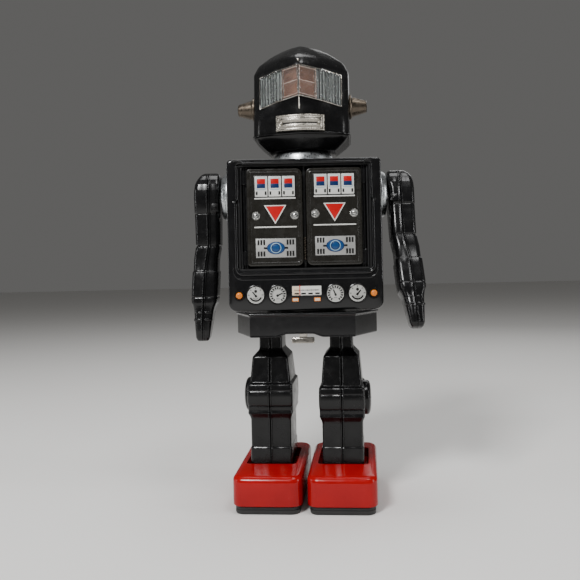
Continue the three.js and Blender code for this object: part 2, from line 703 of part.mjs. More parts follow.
function buildChest(parent) {
  addMesh(parent, 'torso_shell', torsoShell(), BLACK_TIN);
  addMesh(parent, 'torso_base', torsoBase(), BLACK_TIN);
  addMesh(parent, 'chest_tray', chestTray(), GREY_PLASTIC);
  addMesh(parent, 'battery_box', batteryBox(), GREY_PLASTIC);
  addMesh(parent, 'battery_door', batteryDoor(), BLACK_TIN);
  addMesh(parent, 'battery_door_pin', bar('x', HINGE.pin, -28, 28, HATCH.pinY, HATCH.pinZ, 10), STEEL);
  addMesh(parent, 'contact_bridge', contactBridge(), NICKEL);
  addMesh(parent, 'motor_can', motorCan(), NICKEL);
  addMesh(parent, 'motor_pinion', motorPinion(), BRASS);
  addMesh(parent, 'turning_gear', turningGear(), NYLON);
  addMesh(parent, 'neck_ring', neckRing(), SILVER_PAINT);
  for (const [side, sign] of SIDES) {
    const pin = bar('z', HINGE.pin, BAY.bottom + 0.6, BAY.top - 0.6, sign * HINGE.x, HINGE.y, 10);
    addMesh(parent, `chest_door_${side}`, chestDoor(sign), DOOR_PRINT);
    addMesh(parent, `door_pin_${side}`, pin, STEEL);
    addMesh(parent, `gun_${side}`, gun(sign), SILVER_PAINT);
    addMesh(parent, `gun_lamp_${side}`, gunLamp(sign), LAMP_RED);
    addMesh(parent, `cell_${side}`, cell(sign), CELL_JACKET);
    addMesh(parent, `cell_spring_${side}`, cellSpring(sign), NICKEL);
    addMesh(parent, `shoulder_disc_${side}`, shoulderDisc(sign), SILVER_PAINT);
  }
}

// ---------------------------------------------------------------- head

// Head outline at one level: a blunt prow in front, straight cheeks, rounded rear corners.
function headOutline(half, prow, cheek, back, inset) {
  const w = half - inset;
  const corner = Math.min(8, w * 0.4);
  const rear = back - inset;
  const points = [
    [0, prow + inset],
    [w * 0.45, prow + (cheek - prow) * 0.4 + inset],
    [w * 0.86, cheek + inset],
    [w, cheek + inset + w * 0.14],
  ];
  for (const angle of [0, 30, 60, 90]) {
    const t = (angle * Math.PI) / 180;
    points.push([w - corner + corner * Math.cos(t), rear - corner + corner * Math.sin(t)]);
  }
  const mirrored = points.slice(1).reverse().map(([x, y]) => [-x, y]);
  return [...points, ...mirrored];
}

// Rows run up the head: rim, mouth level, under the visor, over the visor, hipped roof.
const HEAD_ROWS = [
  [233.3, 30.9, -27, -19, 28],
  [244, 30.9, -28.5, -18, 28],
  [252, 30.9, -31, -15, 28],
  [274, 30.9, -32, -13, 28],
  [280, 28, -29, -11, 26],
  [286.5, 20, -20, -7, 21],
  [291, 12, -12, -4, 14],
  [293, 6, -7, -2, 8],
];

function headSkin(inset) {
  const last = HEAD_ROWS.length - 1;
  return loft(HEAD_ROWS.map(([z, half, prow, cheek, back], index) => {
    let level = z;
    if (inset > 0 && index === 0) level -= 2;
    if (inset > 0 && index === last) level -= inset;
    return { z: level, outline: headOutline(half, prow, cheek, back, inset) };
  }));
}

// Front outline of the visor window: a chevron that rises to the middle.
function visorShape(grow) {
  const { centreLow, centreHigh, sideLow, sideHigh, half } = VISOR;
  const x = half + grow;
  return polygon([[-x, sideLow - grow], [0, centreLow - grow], [x, sideLow - grow], [x, sideHigh + grow],
    [0, centreHigh + grow], [-x, sideHigh + grow]]);
}

function headShell() {
  const window = frontPlate(visorShape(-1.6), -45, -6);
  const ears = bar('x', 4 + BORE_GAP, -40, 40, 0, EAR.z, 14);
  return cut(headSkin(0), headSkin(HEAD.wall), window, ears);
}

// The skin of the head grown outwards by a small amount, over some of its levels.
function headOffset(grow, first, last) {
  return loft(HEAD_ROWS.slice(first, last).map(([z, half, prow, cheek, back]) => (
    { z, outline: headOutline(half + grow, prow - grow, cheek - grow, back + grow, 0) })));
}

// Visor: a clear skin that follows the front of the head, standing proud of the window.
function visor() {
  const skin = cut(headOffset(1.5, 1, 5), headOffset(GAP, 1, 5));
  return meet(skin, frontPlate(visorShape(0), -45, -12));
}

// Tinted panel behind the middle of the visor.
function visorPanel() {
  const skin = cut(headOffset(-2, 1, 5), headOffset(-3, 1, 5));
  return meet(skin, box(-PANEL.half, PANEL.half, -40, -20, PANEL.low, PANEL.high));
}

// Rows run up the chin, from the neck to the rim of the head.
const CHIN_ROWS = [
  [223.4, 22, -21.4, -14.4, 21.6],
  [226, 25, -23, -16, 24],
  [231, 30.9, -27, -19, 28],
  [233, 30.9, -27, -19, 28],
];

function headBase() {
  const skin = (inset, floor, rise) => loft(CHIN_ROWS.map(([z, half, prow, cheek, back], index) => {
    const shift = [floor, 0, 0, rise][index];
    return { z: z + shift, outline: headOutline(half, prow, cheek, back, inset) };
  }));
  return cut(skin(0, 0, 0), skin(HEAD.wall, HEAD.wall, 1), bar('z', 9, 215, 230, 0, 0, 20));
}

function mouthGrille() {
  const { half, low, high, slotHalf, slotLow, slotHigh } = MOUTH;
  const shell = cut(headOffset(1.3, 0, 3), headOffset(GAP, 0, 3));
  const window = roundedRectangle(-half, half, low, high, 1);
  const slot = roundedRectangle(-slotHalf, slotHalf, slotLow, slotHigh, 0.4);
  return cut(meet(shell, frontPlate(window, -45, -15, 2)), frontPlate(slot, -45, -15, 2));
}

function ear(sign) {
  const { base, tip, length } = EAR;
  const profile = [[0, -4], [3.8, -4], [3.8, GAP], [base, GAP], [base - 0.4, 1.6],
    [tip + 0.4, length - 0.8], [tip - 0.4, length], [0, length]];
  return turned(profile, 16).rotateY((sign * Math.PI) / 2).translate(sign * HEAD.half, 0, EAR.z);
}

function headLamp() {
  const profile = [[0, 240], [4, 240], [4, 249], [3.2, 250], [5, 254], [4.4, 258], [2, 260.4], [0, 261]];
  return turned(profile, 12).translate(0, -8, 0);
}

function buildHead(figure) {
  const parent = placedGroup(figure, 0, 0, 0);
  parent.rotation.z = (HEAD_TURN * Math.PI) / 180;
  addMesh(parent, 'head_shell', headShell(), BLACK_PLASTIC);
  addMesh(parent, 'head_base', headBase(), BLACK_PLASTIC);
  addMesh(parent, 'visor', visor(), CLEAR);
  addMesh(parent, 'visor_panel', visorPanel(), AMBER);
  addMesh(parent, 'mouth_grille', mouthGrille(), NICKEL);
  addMesh(parent, 'head_lamp', headLamp(), CLEAR);
  for (const [side, sign] of SIDES) addMesh(parent, `ear_${side}`, ear(sign), BRONZE_PAINT);
}

// ---------------------------------------------------------------- arms

function shoulderDisc(sign) {
  const low = TORSO.half + GAP;
  const profile = [[SHOULDER.axle + BORE_GAP, low], [SHOULDER.disc, low], [SHOULDER.disc, low + 2],
    [SHOULDER.disc - 2.4, SHOULDER.discOut], [SHOULDER.axle + BORE_GAP, SHOULDER.discOut],
    [SHOULDER.axle + BORE_GAP, low]];
  return turned(profile, 24).rotateY((sign * Math.PI) / 2).translate(0, 0, SHOULDER.z);
}

// Rows run up the arm from the finger tips, heights measured from the shoulder axis.
const ARM_ROWS = [
  [-93, 3.6, 4.4, -11],
  [-90, 4.6, 6.6, -10.4, true],
  [-80, 5.4, 8.4, -8.6],
  [-69, 5.8, 8.8, -6.4],
  [-68, 8.2, 10.2, -6.2, true],
  [-48, 8.4, 10.6, -3.2, true],
  [-47, 7.8, 9.8, -3],
  [-32, 7.8, 10.4, -1, true],
  [-31, 8, 10.6, -0.8],
  [-11, 8.1, 11.2, 0, true],
  [-10, 8.2, 12.3, 0],
  [4, 8.2, 12.4, 0],
  [10, 7.8, 10.6, 0],
  [14, 6.6, 7.2, 0, true],
  [16, 4.4, 3.6, 0],
];
const ARM_CORNER = 3.4;
const ELBOW = -31;
const WRIST = -47;
const ELBOW_LEAN = 0.16;
const WRIST_LEAN = 0.045;
const FULLNESS = { outer: 1.14, inner: 0.88 };

// Leans an arm half outwards below the elbow, and makes its upper part fuller or slimmer.
function splayed(half, sign, fullness) {
  const place = half.getAttribute('position');
  const slim = fullness < 1;
  for (let index = 0; index < place.count; index += 1) {
    const z = place.getZ(index);
    const bend = Math.min(Math.max(ELBOW - z, 0), ELBOW - WRIST) * ELBOW_LEAN;
    const lean = bend + Math.max(WRIST - z, 0) * WRIST_LEAN;
    const plain = z < WRIST || (slim && z > 0);
    place.setX(index, place.getX(index) * (plain ? 1 : fullness) + sign * lean);
  }
  return half;
}

function buildArm(parent, side, sign) {
  const arm = placedGroup(parent, sign * (SHOULDER.armIn + SHOULDER.armHalf), 0, SHOULDER.z);
  arm.rotation.x = (-ARM_SWING[side] * Math.PI) / 180;
  const whole = limb(ARM_ROWS, ARM_CORNER, false, false);
  const socket = bar('x', SHOULDER.axle + BORE_GAP, -20, 20, 0, 0, 12);
  const inner = cut(splayed(limbHalf(whole, -sign), sign, FULLNESS.inner), socket);
  const along = (radius, from, to) => (sign > 0 ? bar('x', radius, from, to, 0, 0, 12)
    : bar('x', radius, -to, -from, 0, 0, 12));
  const axle = join(along(SHOULDER.axle, -18, 0.4), along(SHOULDER.axle + 2, -1, 5.4));
  addMesh(arm, `arm_outer_${side}`, splayed(limbHalf(whole, sign), sign, FULLNESS.outer), BLACK_PLASTIC);
  addMesh(arm, `arm_inner_${side}`, inner, BLACK_PLASTIC);
  addMesh(arm, `shoulder_axle_${side}`, axle, STEEL);
}

// ---------------------------------------------------------------- assembly

const robot = new THREE.Group();
const figure = placedGroup(robot, 0, STANCE_Y, 0);

const lowerBody = placedGroup(figure, 0, 0, 0);
lowerBody.rotation.z = (LOWER_TURN * Math.PI) / 180;
for (const [side, sign] of SIDES) buildLeg(lowerBody, side, sign);
buildHips(lowerBody);

addMesh(figure, 'sun_gear', sunGear(), NYLON);
buildChest(figure);
buildHead(figure);
for (const [side, sign] of SIDES) buildArm(figure, side, sign);

export default robot;
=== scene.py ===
"""Looks of the walking toy robot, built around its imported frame. Lengths inside are millimetres in the
space of one part of the body: the chest and head, the hips and legs, or one arm."""

import json
import math

import bmesh
import bpy
from mathutils import Matrix, Vector


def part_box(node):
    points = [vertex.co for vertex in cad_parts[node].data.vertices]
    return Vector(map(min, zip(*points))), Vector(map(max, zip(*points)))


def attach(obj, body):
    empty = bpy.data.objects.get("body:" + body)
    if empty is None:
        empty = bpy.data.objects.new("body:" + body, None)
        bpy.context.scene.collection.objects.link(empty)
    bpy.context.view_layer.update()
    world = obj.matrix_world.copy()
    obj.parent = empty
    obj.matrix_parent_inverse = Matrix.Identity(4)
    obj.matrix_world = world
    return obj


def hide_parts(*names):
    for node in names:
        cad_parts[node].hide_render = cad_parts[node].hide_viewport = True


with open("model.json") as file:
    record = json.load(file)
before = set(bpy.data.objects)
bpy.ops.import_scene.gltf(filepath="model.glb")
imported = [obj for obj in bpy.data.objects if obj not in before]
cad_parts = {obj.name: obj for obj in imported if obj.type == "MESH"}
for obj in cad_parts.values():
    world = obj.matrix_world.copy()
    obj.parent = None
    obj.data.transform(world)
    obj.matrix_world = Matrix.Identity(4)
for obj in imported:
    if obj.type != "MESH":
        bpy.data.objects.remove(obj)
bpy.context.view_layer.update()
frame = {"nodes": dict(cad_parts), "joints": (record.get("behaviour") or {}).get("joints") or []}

MM = 0.001
SIDES = (("left", 1), ("right", -1))

# ---- places taken from the frame

JOINTS = {joint["name"]: joint for joint in frame["joints"]}


def corners(node):
    """Lowest and highest corner of a CAD node, in millimetres."""
    low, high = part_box(node)
    return low / MM, high / MM


def turn_between(left, right):
    """Angle about the vertical by which the line from one node to another is off straight across."""
    first = sum(corners(left), Vector()) / 2
    second = sum(corners(right), Vector()) / 2
    return math.atan2(first.y - second.y, first.x - second.x)


WAIST = Vector(JOINTS["waist_turn"]["pos_m"]) / MM
UPPER = Matrix.Translation((WAIST.x, WAIST.y, 0))
HEAD = UPPER @ Matrix.Rotation(turn_between("ear_left", "ear_right"), 4, "Z")
LEG_AXIS = Vector(JOINTS["leg_left_slide"]["axis"])
LOWER = UPPER @ Matrix.Rotation(math.atan2(-LEG_AXIS.x, LEG_AXIS.y), 4, "Z")
SHOULDER = Vector(JOINTS["arm_left_swing"]["pos_m"]) / MM


def swing_of(side):
    """Angle by which an arm points forward of straight down, measured at its finger tips."""
    pivot = Vector(JOINTS[f"arm_{side}_swing"]["pos_m"])
    points = [vertex.co - pivot for vertex in frame["nodes"][f"arm_outer_{side}"].data.vertices]
    far = max(points, key=lambda p: p.y * p.y + p.z * p.z)
    return math.atan2(-far.y, -far.z)


REST_SWING = swing_of("right")


def arm_space(side, sign):
    turn = Matrix.Rotation(-(swing_of(side) - REST_SWING), 4, "X")
    return Matrix.Translation((sign * SHOULDER.x, SHOULDER.y, SHOULDER.z)) @ turn


LEG_OFFSET = (LOWER.inverted() @ (Vector(JOINTS["roller_rear_left_spin"]["pos_m"]) / MM)).x


def leg_space(sign):
    return LOWER @ Matrix.Translation((sign * LEG_OFFSET, 0, 0))


TORSO_LOW, TORSO_HIGH = corners("torso_shell")
TORSO_HALF = TORSO_HIGH.x
TORSO_BOTTOM = TORSO_LOW.z - 2.5
TORSO_TOP = TORSO_HIGH.z
BEAD_PROUD = 1.0
TORSO_FRONT = TORSO_LOW.y - WAIST.y + BEAD_PROUD
TORSO_BACK = -TORSO_FRONT
TRAY_LOW, TRAY_HIGH = corners("chest_tray")
DOOR_LOW, DOOR_HIGH = corners("chest_door_left")
DOOR_FRONT = DOOR_LOW.y - WAIST.y
HINGE = Vector(JOINTS["chest_door_left_hinge"]["pos_m"]) / MM
HINGE_Y = HINGE.y - WAIST.y
EAR_LOW, EAR_HIGH = corners("ear_left")
VISOR_LOW, VISOR_HIGH = corners("visor")
MOUTH_LOW, MOUTH_HIGH = corners("mouth_grille")
NECK_LOW = corners("neck_ring")[0]
HIP_LOW, HIP_HIGH = corners("hip_shell")

# ---- materials


class Nodes:
    """A short way to write a node tree."""

    def __init__(self, name):
        self.material = bpy.data.materials.new(name)
        self.material.use_nodes = True
        self.tree = self.material.node_tree
        self.tree.nodes.clear()
        self.shader = self.add("ShaderNodeBsdfPrincipled")
        output = self.add("ShaderNodeOutputMaterial")
        self.link(self.shader.outputs["BSDF"], output.inputs["Surface"])
        self.place = self.add("ShaderNodeTexCoord").outputs["Object"]

    def add(self, kind, **values):
        node = self.tree.nodes.new(kind)
        for key, value in values.items():
            setattr(node, key, value)
        return node

    def link(self, source, target):
        self.tree.links.new(source, target)

    def stretch(self, scale):
        node = self.add("ShaderNodeMapping")
        node.inputs["Scale"].default_value = scale
        self.link(self.place, node.inputs["Vector"])
        return node.outputs["Vector"]

    def noise(self, scale, detail, stretch=None, roughness=0.55):
        node = self.add("ShaderNodeTexNoise")
        node.inputs["Scale"].default_value = scale
        node.inputs["Detail"].default_value = detail
        node.inputs["Roughness"].default_value = roughness
        self.link(self.stretch(stretch) if stretch else self.place, node.inputs["Vector"])
        return node.outputs["Fac"]

    def ramp(self, source, stops):
        node = self.add("ShaderNodeValToRGB")
        while len(node.color_ramp.elements) < len(stops):
            node.color_ramp.elements.new(0.5)
        for element, (place, colour) in zip(node.color_ramp.elements, stops):
            element.position = place
            element.color = (*colour, 1)
        self.link(source, node.inputs["Fac"])
        return node.outputs["Color"]

    def mottle(self, source, colour, dark, light, end=0.7):
        """The colour, darker and lighter by two factors as the source goes from low to high."""
        return self.ramp(source, [(0.3, shade(colour, dark)), (end, shade(colour, light))])

    def span(self, source, low, high, start=0.3, end=0.7):
        node = self.add("ShaderNodeMapRange")
        values = {"From Min": start, "From Max": end, "To Min": low, "To Max": high}
        for socket, value in values.items():
            node.inputs[socket].default_value = value
        self.link(source, node.inputs["Value"])
        return node.outputs["Result"]

    def blend(self, factor, base, colour):
        """A plain colour laid over a base where the factor is high."""
        node = self.add("ShaderNodeMix", data_type="RGBA")
        factor_socket, base_socket, colour_socket = (node.inputs[index] for index in (0, 6, 7))
        self.link(factor, factor_socket)
        self.link(base, base_socket)
        colour_socket.default_value = (*colour, 1)
        return node.outputs[2]

    def finish(self, colour, roughness, bumps, **values):
        """Sets up the shader; bumps are stacked (height, strength, distance) rows."""
        self.link(colour, self.shader.inputs["Base Color"])
        self.link(roughness, self.shader.inputs["Roughness"])
        for key, value in values.items():
            self.shader.inputs[key.replace("_", " ")].default_value = value
        normal = None
        for height, strength, distance in bumps:
            node = self.add("ShaderNodeBump")
            node.inputs["Strength"].default_value = strength
            node.inputs["Distance"].default_value = distance
            self.link(height, node.inputs["Height"])
            if normal is not None:
                self.link(normal, node.inputs["Normal"])
            normal = node.outputs["Normal"]
        self.link(normal, self.shader.inputs["Normal"])
        return self.material

def shade(colour, factor):
    return tuple(min(1.0, channel * factor) for channel in colour)


def gloss_skin(name, colour, roughness, dust, waviness, specular=0.42):
    """Moulded plastic or enamel: soft waviness, handling marks, a film of dust and faint scratches."""
    n = Nodes(name)
    film = n.noise(170, 8, roughness=0.7)
    scratch = n.noise(60, 6, stretch=(14, 1.2, 1.2), roughness=0.75)
    tone = n.mottle(n.noise(38, 5), colour, 0.82, 1.15)
    dusty = tuple(channel + dust for channel in shade(colour, 1.1))
    bumps = [(n.noise(30, 2), waviness, 0.0006), (scratch, 0.02, 0.0002), (n.noise(900, 2), 0.02, 0.0001)]
    return n.finish(n.blend(n.span(film, 0.0, 0.55, 0.52, 0.78), tone, dusty),
                    n.span(film, roughness * 0.8, roughness * 1.7 + 0.03), bumps, Specular_IOR_Level=specular)


def printed_tin(name, colour, roughness=0.24, metallic=0.0):
    """Ink on tinplate: a slight orange peel under lacquer, a little uneven ink and a few rubbed specks."""
    n = Nodes(name)
    ink = n.noise(55, 6)
    speck = n.noise(520, 3, roughness=0.8)
    rubbed = n.blend(n.span(speck, 0.0, 0.35, 0.72, 0.8), n.mottle(ink, colour, 0.86, 1.1), (0.2, 0.19, 0.17))
    return n.finish(rubbed, n.span(ink, roughness * 0.8, roughness * 1.4),
                    [(n.noise(120, 2), 0.04, 0.0003), (n.noise(26, 2), 0.06, 0.0006)],
                    Metallic=metallic, Coat_Weight=0.1, Coat_Roughness=0.1, Specular_IOR_Level=0.35)


def metal(name, colour, roughness, tarnish, streak=None):
    """Plated or painted metal with tarnish patches and, where it is brushed, fine streaks."""
    n = Nodes(name)
    patch = n.noise(110, 7, roughness=0.7)
    fine = n.noise(700, 3, stretch=streak)
    tone = n.mottle(patch, colour, 0.85, 1.1, 0.65)
    worn = n.blend(n.span(patch, 0.0, tarnish, 0.5, 0.8), tone, (0.2, 0.16, 0.11))
    bumps = [(fine, 0.06 if streak else 0.02, 0.0002), (n.noise(45, 2), 0.03, 0.0003)]
    return n.finish(worn, n.span(fine, roughness * 0.7, roughness * 1.5), bumps, Metallic=1.0)


def satin(name, colour, roughness):
    """Matt or satin moulding with a fine sparked texture."""
    n = Nodes(name)
    cloud = n.noise(70, 6)
    return n.finish(n.mottle(cloud, colour, 0.8, 1.2),
                    n.span(n.noise(300, 4), roughness * 0.85, min(1.0, roughness * 1.2)),
                    [(n.noise(1400, 3), 0.12, 0.0002), (cloud, 0.05, 0.0004)])


def clear_plastic(name, colour, transmission, roughness=0.08):
    """Clear or tinted moulding, faintly hazed by age and fine scratches."""
    n = Nodes(name)
    haze = n.noise(140, 6)
    bumps = [(n.noise(60, 3), 0.08, 0.0004), (n.noise(500, 3, stretch=(8, 1, 1)), 0.03, 0.0001)]
    return n.finish(n.mottle(haze, colour, 0.94, 1.04), n.span(haze, roughness * 0.6, roughness * 1.8), bumps,
                    Transmission_Weight=transmission, IOR=1.46)


def jacket(name):
    """Printed cell jacket: two colour bands between bare metal ends."""
    n = Nodes(name)
    split = n.add("ShaderNodeSeparateXYZ")
    n.link(n.place, split.inputs["Vector"])
    low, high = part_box("cell_left")
    band = n.span(split.outputs["Z"], 0.0, 1.0, low.z, high.z)
    bare, blue, copper = (0.5, 0.5, 0.48), (0.03, 0.1, 0.26), (0.62, 0.42, 0.1)
    stops = [(0.0, bare), (0.05, blue), (0.68, blue), (0.7, copper), (0.93, copper), (0.95, bare)]
    tone = n.ramp(band, stops)
    grime = n.noise(90, 6)
    return n.finish(n.blend(n.span(grime, 0.0, 0.3, 0.55, 0.8), tone, (0.08, 0.07, 0.06)),
                    n.span(grime, 0.22, 0.45), [(grime, 0.05, 0.0003)], Metallic=0.4)


LOOKS = {
    "black_tin": gloss_skin("black_enamel", (0.0045, 0.0045, 0.005), 0.13, 0.006, 0.10),
    "black_plastic": gloss_skin("black_moulding", (0.004, 0.004, 0.0043), 0.17, 0.004, 0.06, 0.32),
    "red_plastic": gloss_skin("red_moulding", (0.31, 0.0014, 0.003), 0.15, 0.003, 0.08, 0.28),
    "door_print": gloss_skin("door_ink", (0.012, 0.011, 0.009), 0.2, 0.006, 0.08),
    "lamp_amber": gloss_skin("lamp_amber", (0.62, 0.17, 0.012), 0.25, 0.01, 0.05),
    "sole_black": satin("sole_moulding", (0.012, 0.012, 0.012), 0.5),
    "grey_plastic": satin("tray_moulding", (0.02, 0.02, 0.021), 0.42),
    "tray_black": satin("recess_moulding", (0.008, 0.008, 0.0085), 0.35),
    "nylon": satin("nylon_moulding", (0.62, 0.58, 0.47), 0.45),
    "silver_paint": metal("silver_paint", (0.44, 0.46, 0.47), 0.30, 0.1),
    "ear_metal": metal("ear_silver", (0.11, 0.09, 0.07), 0.34, 0.12),
    "nickel": metal("nickel_plate", (0.66, 0.62, 0.56), 0.18, 0.15),
    "mouth_nickel": metal("mouth_nickel", (0.42, 0.395, 0.35), 0.28, 0.12),
    "steel": metal("zinc_steel", (0.46, 0.46, 0.47), 0.32, 0.25, streak=(1, 1, 12)),
    "brass": metal("gear_brass", (0.62, 0.42, 0.15), 0.28, 0.3),
    # Pale copper lines along the visor's pane ridges: painted highlights.
    "pane_edge": metal("pane_edge", (0.78, 0.60, 0.52), 0.22, 0.1),
    # Silver rods behind the visor flutes, and the same metal for the painted highlight lines on the flute
    # crests.
    "rod_silver": metal("rod_silver", (0.66, 0.70, 0.68), 0.3, 0.1),
    "button_silver": metal("button_silver", (0.50, 0.50, 0.48), 0.25, 0.1),
    "clear_plastic": clear_plastic("visor_clear", (0.93, 0.96, 0.96), 0.97, 0.05),
    "lamp_glass": clear_plastic("lamp_glass", (0.92, 0.92, 0.88), 0.95, 0.03),
    "lamp_red": clear_plastic("lamp_red", (0.75, 0.03, 0.02), 0.55),
    "amber_panel": printed_tin("panel_copper", (0.34, 0.135, 0.075), 0.3, 0.25),
    "cell_jacket": jacket("cell_print"),
    "ink_white": printed_tin("ink_white", (0.60, 0.60, 0.57)),
    "ink_cream": printed_tin("ink_cream", (0.66, 0.52, 0.38)),
    "ink_red": printed_tin("ink_red", (0.42, 0.006, 0.007)),
    "ink_blue": printed_tin("ink_blue", (0.006, 0.022, 0.085)),
    "ink_sky": printed_tin("ink_sky", (0.006, 0.048, 0.155)),
    "ink_pale": printed_tin("ink_pale", (0.26, 0.40, 0.48)),
    "ink_black": printed_tin("ink_black", (0.004, 0.004, 0.004), 0.3),
    "ink_grey": printed_tin("ink_grey", (0.10, 0.105, 0.11)),
    "ink_silver": printed_tin("ink_silver", (0.34, 0.34, 0.33), 0.3, 0.3),
    "dial_face": printed_tin("dial_face", (0.40, 0.40, 0.38), 0.3),
}

# ---- outlines


def rounded(x0, x1, y0, y1, radii, steps=8):
    """Rounded rectangle, anticlockwise; its radii start at the low right corner."""
    if not isinstance(radii, tuple):
        radii = (radii,) * 4
    places = ((x1, y0, 1, -1, -90), (x1, y1, 1, 1, 0), (x0, y1, -1, 1, 90), (x0, y0, -1, -1, 180))
    points = []
    for (x, y, right, up, start), radius in zip(places, radii):
        for step in range(steps + 1):
            angle = math.radians(start + 90 * step / steps)
            points.append((x - right * radius + radius * math.cos(angle),
                           y - up * radius + radius * math.sin(angle)))
    return points


def ring_of(radius, count=32, centre=(0, 0)):
    angles = [2 * math.pi * i / count for i in range(count)]
    return [(centre[0] + radius * math.cos(a), centre[1] + radius * math.sin(a)) for a in angles]


def level(outline, z):
    """Level ring of an (x, y) outline at a height."""
    return [(x, y, z) for x, y in outline]


def facing(outline, y):
    """Upright ring of an (x, z) outline at a depth."""
    return [(x, y, z) for x, z in outline]


def along(rows, place):
    """Value at a place between (place, value) rows, which rise; the last value beyond them."""
    for (xa, ya), (xb, yb) in zip(rows, rows[1:]):
        if place <= xb:
            return ya + (yb - ya) * (place - xa) / (xb - xa)
    return rows[-1][1]


# Planes take an outline's (across, up) and a height out of the plane to a point.


def on_front(depth):
    return lambda u, v, w: (u, depth - w, v)


def on_top(height):
    return lambda u, v, w: (u, v, height + w)


def on_side(across, sign):
    return lambda u, v, w: (sign * (across + w), u, v)


# ---- mesh building

class Shape:
    """Closed parts collected into one object."""

    def __init__(self, space=UPPER):
        self.space = space
        self.points = []
        self.faces = []
        self.materials = []
        self.looks = []

    def look(self, name):
        if name not in self.looks:
            self.looks.append(name)
        return self.looks.index(name)

    def rings(self, rings, look, closed=False):
        """Skin over rings with equal numbers of points; its ends are capped, or joined to each other."""
        start = len(self.points)
        count = len(rings[0])
        for ring in rings:
            self.points.extend(ring)
        index = self.look(look)
        last = len(rings) if closed else len(rings) - 1
        for level in range(last):
            low = start + level * count
            high = start + ((level + 1) % len(rings)) * count
            for i in range(count):
                j = (i + 1) % count
                self.faces.append((low + i, low + j, high + j, high + i))
                self.materials.append(index)
        if not closed:
            top = start + (len(rings) - 1) * count
            self.faces.append(tuple(reversed(range(start, start + count))))
            self.faces.append(tuple(range(top, top + count)))
            self.materials.extend((index, index))

    def plaque(self, outline, plane, depth, look, ease=0.15, base=0.0):
        """Raised plate with an eased upper edge; outline is a function of the inset."""
        levels = ((0.0, base), (0.0, depth - ease), (ease * 0.35, depth - ease * 0.3), (ease, depth))
        self.rings([[plane(u, v, w) for u, v in outline(inset)] for inset, w in levels], look)

    def turned(self, profile, plane, look, count=40, centre=(0, 0), closed=False):
        """Lathe part: (radius, height) rows along the plane's outward direction."""
        rings = [[plane(u, v, height) for u, v in ring_of(max(radius, 0.01), count, centre)]
                 for radius, height in profile]
        self.rings(rings, look, closed)

    def tube(self, path, radius, look, count=12, closed=False):
        """Round bar along a path of points."""
        path = [Vector(point) for point in path]
        rings = []
        side = None
        for i, point in enumerate(path):
            before = path[i - 1] if i or closed else point
            after = path[(i + 1) % len(path)] if i + 1 < len(path) or closed else point
            along = (after - before).normalized()
            if side is None:
                side = along.orthogonal().normalized()
            side = (side - along * side.dot(along)).normalized()
            up = along.cross(side)
            rings.append([tuple(point + side * (radius * math.cos(a)) + up * (radius * math.sin(a)))
                          for a in (2 * math.pi * k / count for k in range(count))])
        self.rings(rings, look, closed)

    def grid(self, place, columns, levels, thickness, look):
        """Sheet whose front is place(column, level), with a body behind it (+Y)."""
        rows = [[place(c, r) for c in range(columns + 1)] for r in range(levels + 1)]
        back = [[(x, y + thickness, z) for x, y, z in row] for row in rows]
        start = len(self.points)
        width = columns + 1
        for row in rows + back:
            self.points.extend(row)
        offset = len(rows) * width
        index = self.look(look)

        def add(*face):
            self.faces.append(tuple(start + i for i in face))
            self.materials.append(index)

        for r in range(levels):
            for c in range(columns):
                a = r * width + c
                add(a, a + 1, a + 1 + width, a + width)
                add(offset + a + width, offset + a + 1 + width, offset + a + 1, offset + a)
        edge = list(range(width))
        edge += [(r + 1) * width - 1 for r in range(1, len(rows))]
        edge += [(len(rows) - 1) * width + c for c in range(width - 2, -1, -1)]
        edge += [r * width for r in range(len(rows) - 2, 0, -1)]
        for a, b in zip(edge, edge[1:] + edge[:1]):
            add(b, a, offset + a, offset + b)

    def build(self, name):
        """Object of the collected parts, with their faces turned outwards."""
        mesh = bpy.data.meshes.new(name)
        mesh.from_pydata([self.space @ Vector(point) * MM for point in self.points], [], self.faces)
        edit = bmesh.new()
        edit.from_mesh(mesh)
        bmesh.ops.recalc_face_normals(edit, faces=edit.faces)
        edit.to_mesh(mesh)
        edit.free()
        piece = bpy.data.objects.new(name, mesh)
        bpy.context.scene.collection.objects.link(piece)
        return piece

    def make(self, name, body, slot, *replaces, bevel=0.0, angle=32.0, cutters=()):
        """Finished piece that rides on a body and stands for the CAD nodes it replaces."""
        piece = self.build(name)
        for look in self.looks:
            piece.data.materials.append(LOOKS[look])
        piece.data.polygons.foreach_set("material_index", self.materials)
        for cutter in cutters:
            cut_away(piece, cutter)
        if bevel:
            modifier = piece.modifiers.new("ease", "BEVEL")
            modifier.width = bevel * MM
            modifier.segments = 3
            modifier.limit_method = "ANGLE"
            modifier.angle_limit = math.radians(28)
            modifier.use_clamp_overlap = True
        piece.data.polygons.foreach_set("use_smooth", [True] * len(piece.data.polygons))
        piece.data.set_sharp_from_angle(angle=math.radians(angle))
        if bevel:
            weighted = piece.modifiers.new("even", "WEIGHTED_NORMAL")
            weighted.keep_sharp = True
        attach(piece, body)
        if replaces:
            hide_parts(*replaces)


def cut_away(piece, cutter):
    """Cuts a temporary solid out of a piece for good."""
    tool = cutter.build("cutter")
    modifier = piece.modifiers.new("cut", "BOOLEAN")
    modifier.operation = "DIFFERENCE"
    modifier.solver = "EXACT"
    modifier.object = tool
    bpy.context.view_layer.update()
    shown = piece.evaluated_get(bpy.context.evaluated_depsgraph_get())
    mesh = bpy.data.meshes.new_from_object(shown)
    piece.modifiers.remove(modifier)
    piece.data = mesh
    old = tool.data
    bpy.data.objects.remove(tool)
    bpy.data.meshes.remove(old)


class Cutter(Shape):
    """A solid that is only used to cut, so its look never shows."""

    def block(self, x0, x1, y0, y1, z0, z1):
        plan = ((x0, y0), (x1, y0), (x1, y1), (x0, y1))
        self.rings([level(plan, z) for z in (z0, z1)], "ink_black")
        return self

    def rod(self, plane, radius, low, high, centre=(0, 0), count=32):
        self.turned([(radius, low), (radius, high)], plane, "ink_black", count, centre)
        return self


# ---- chest casing

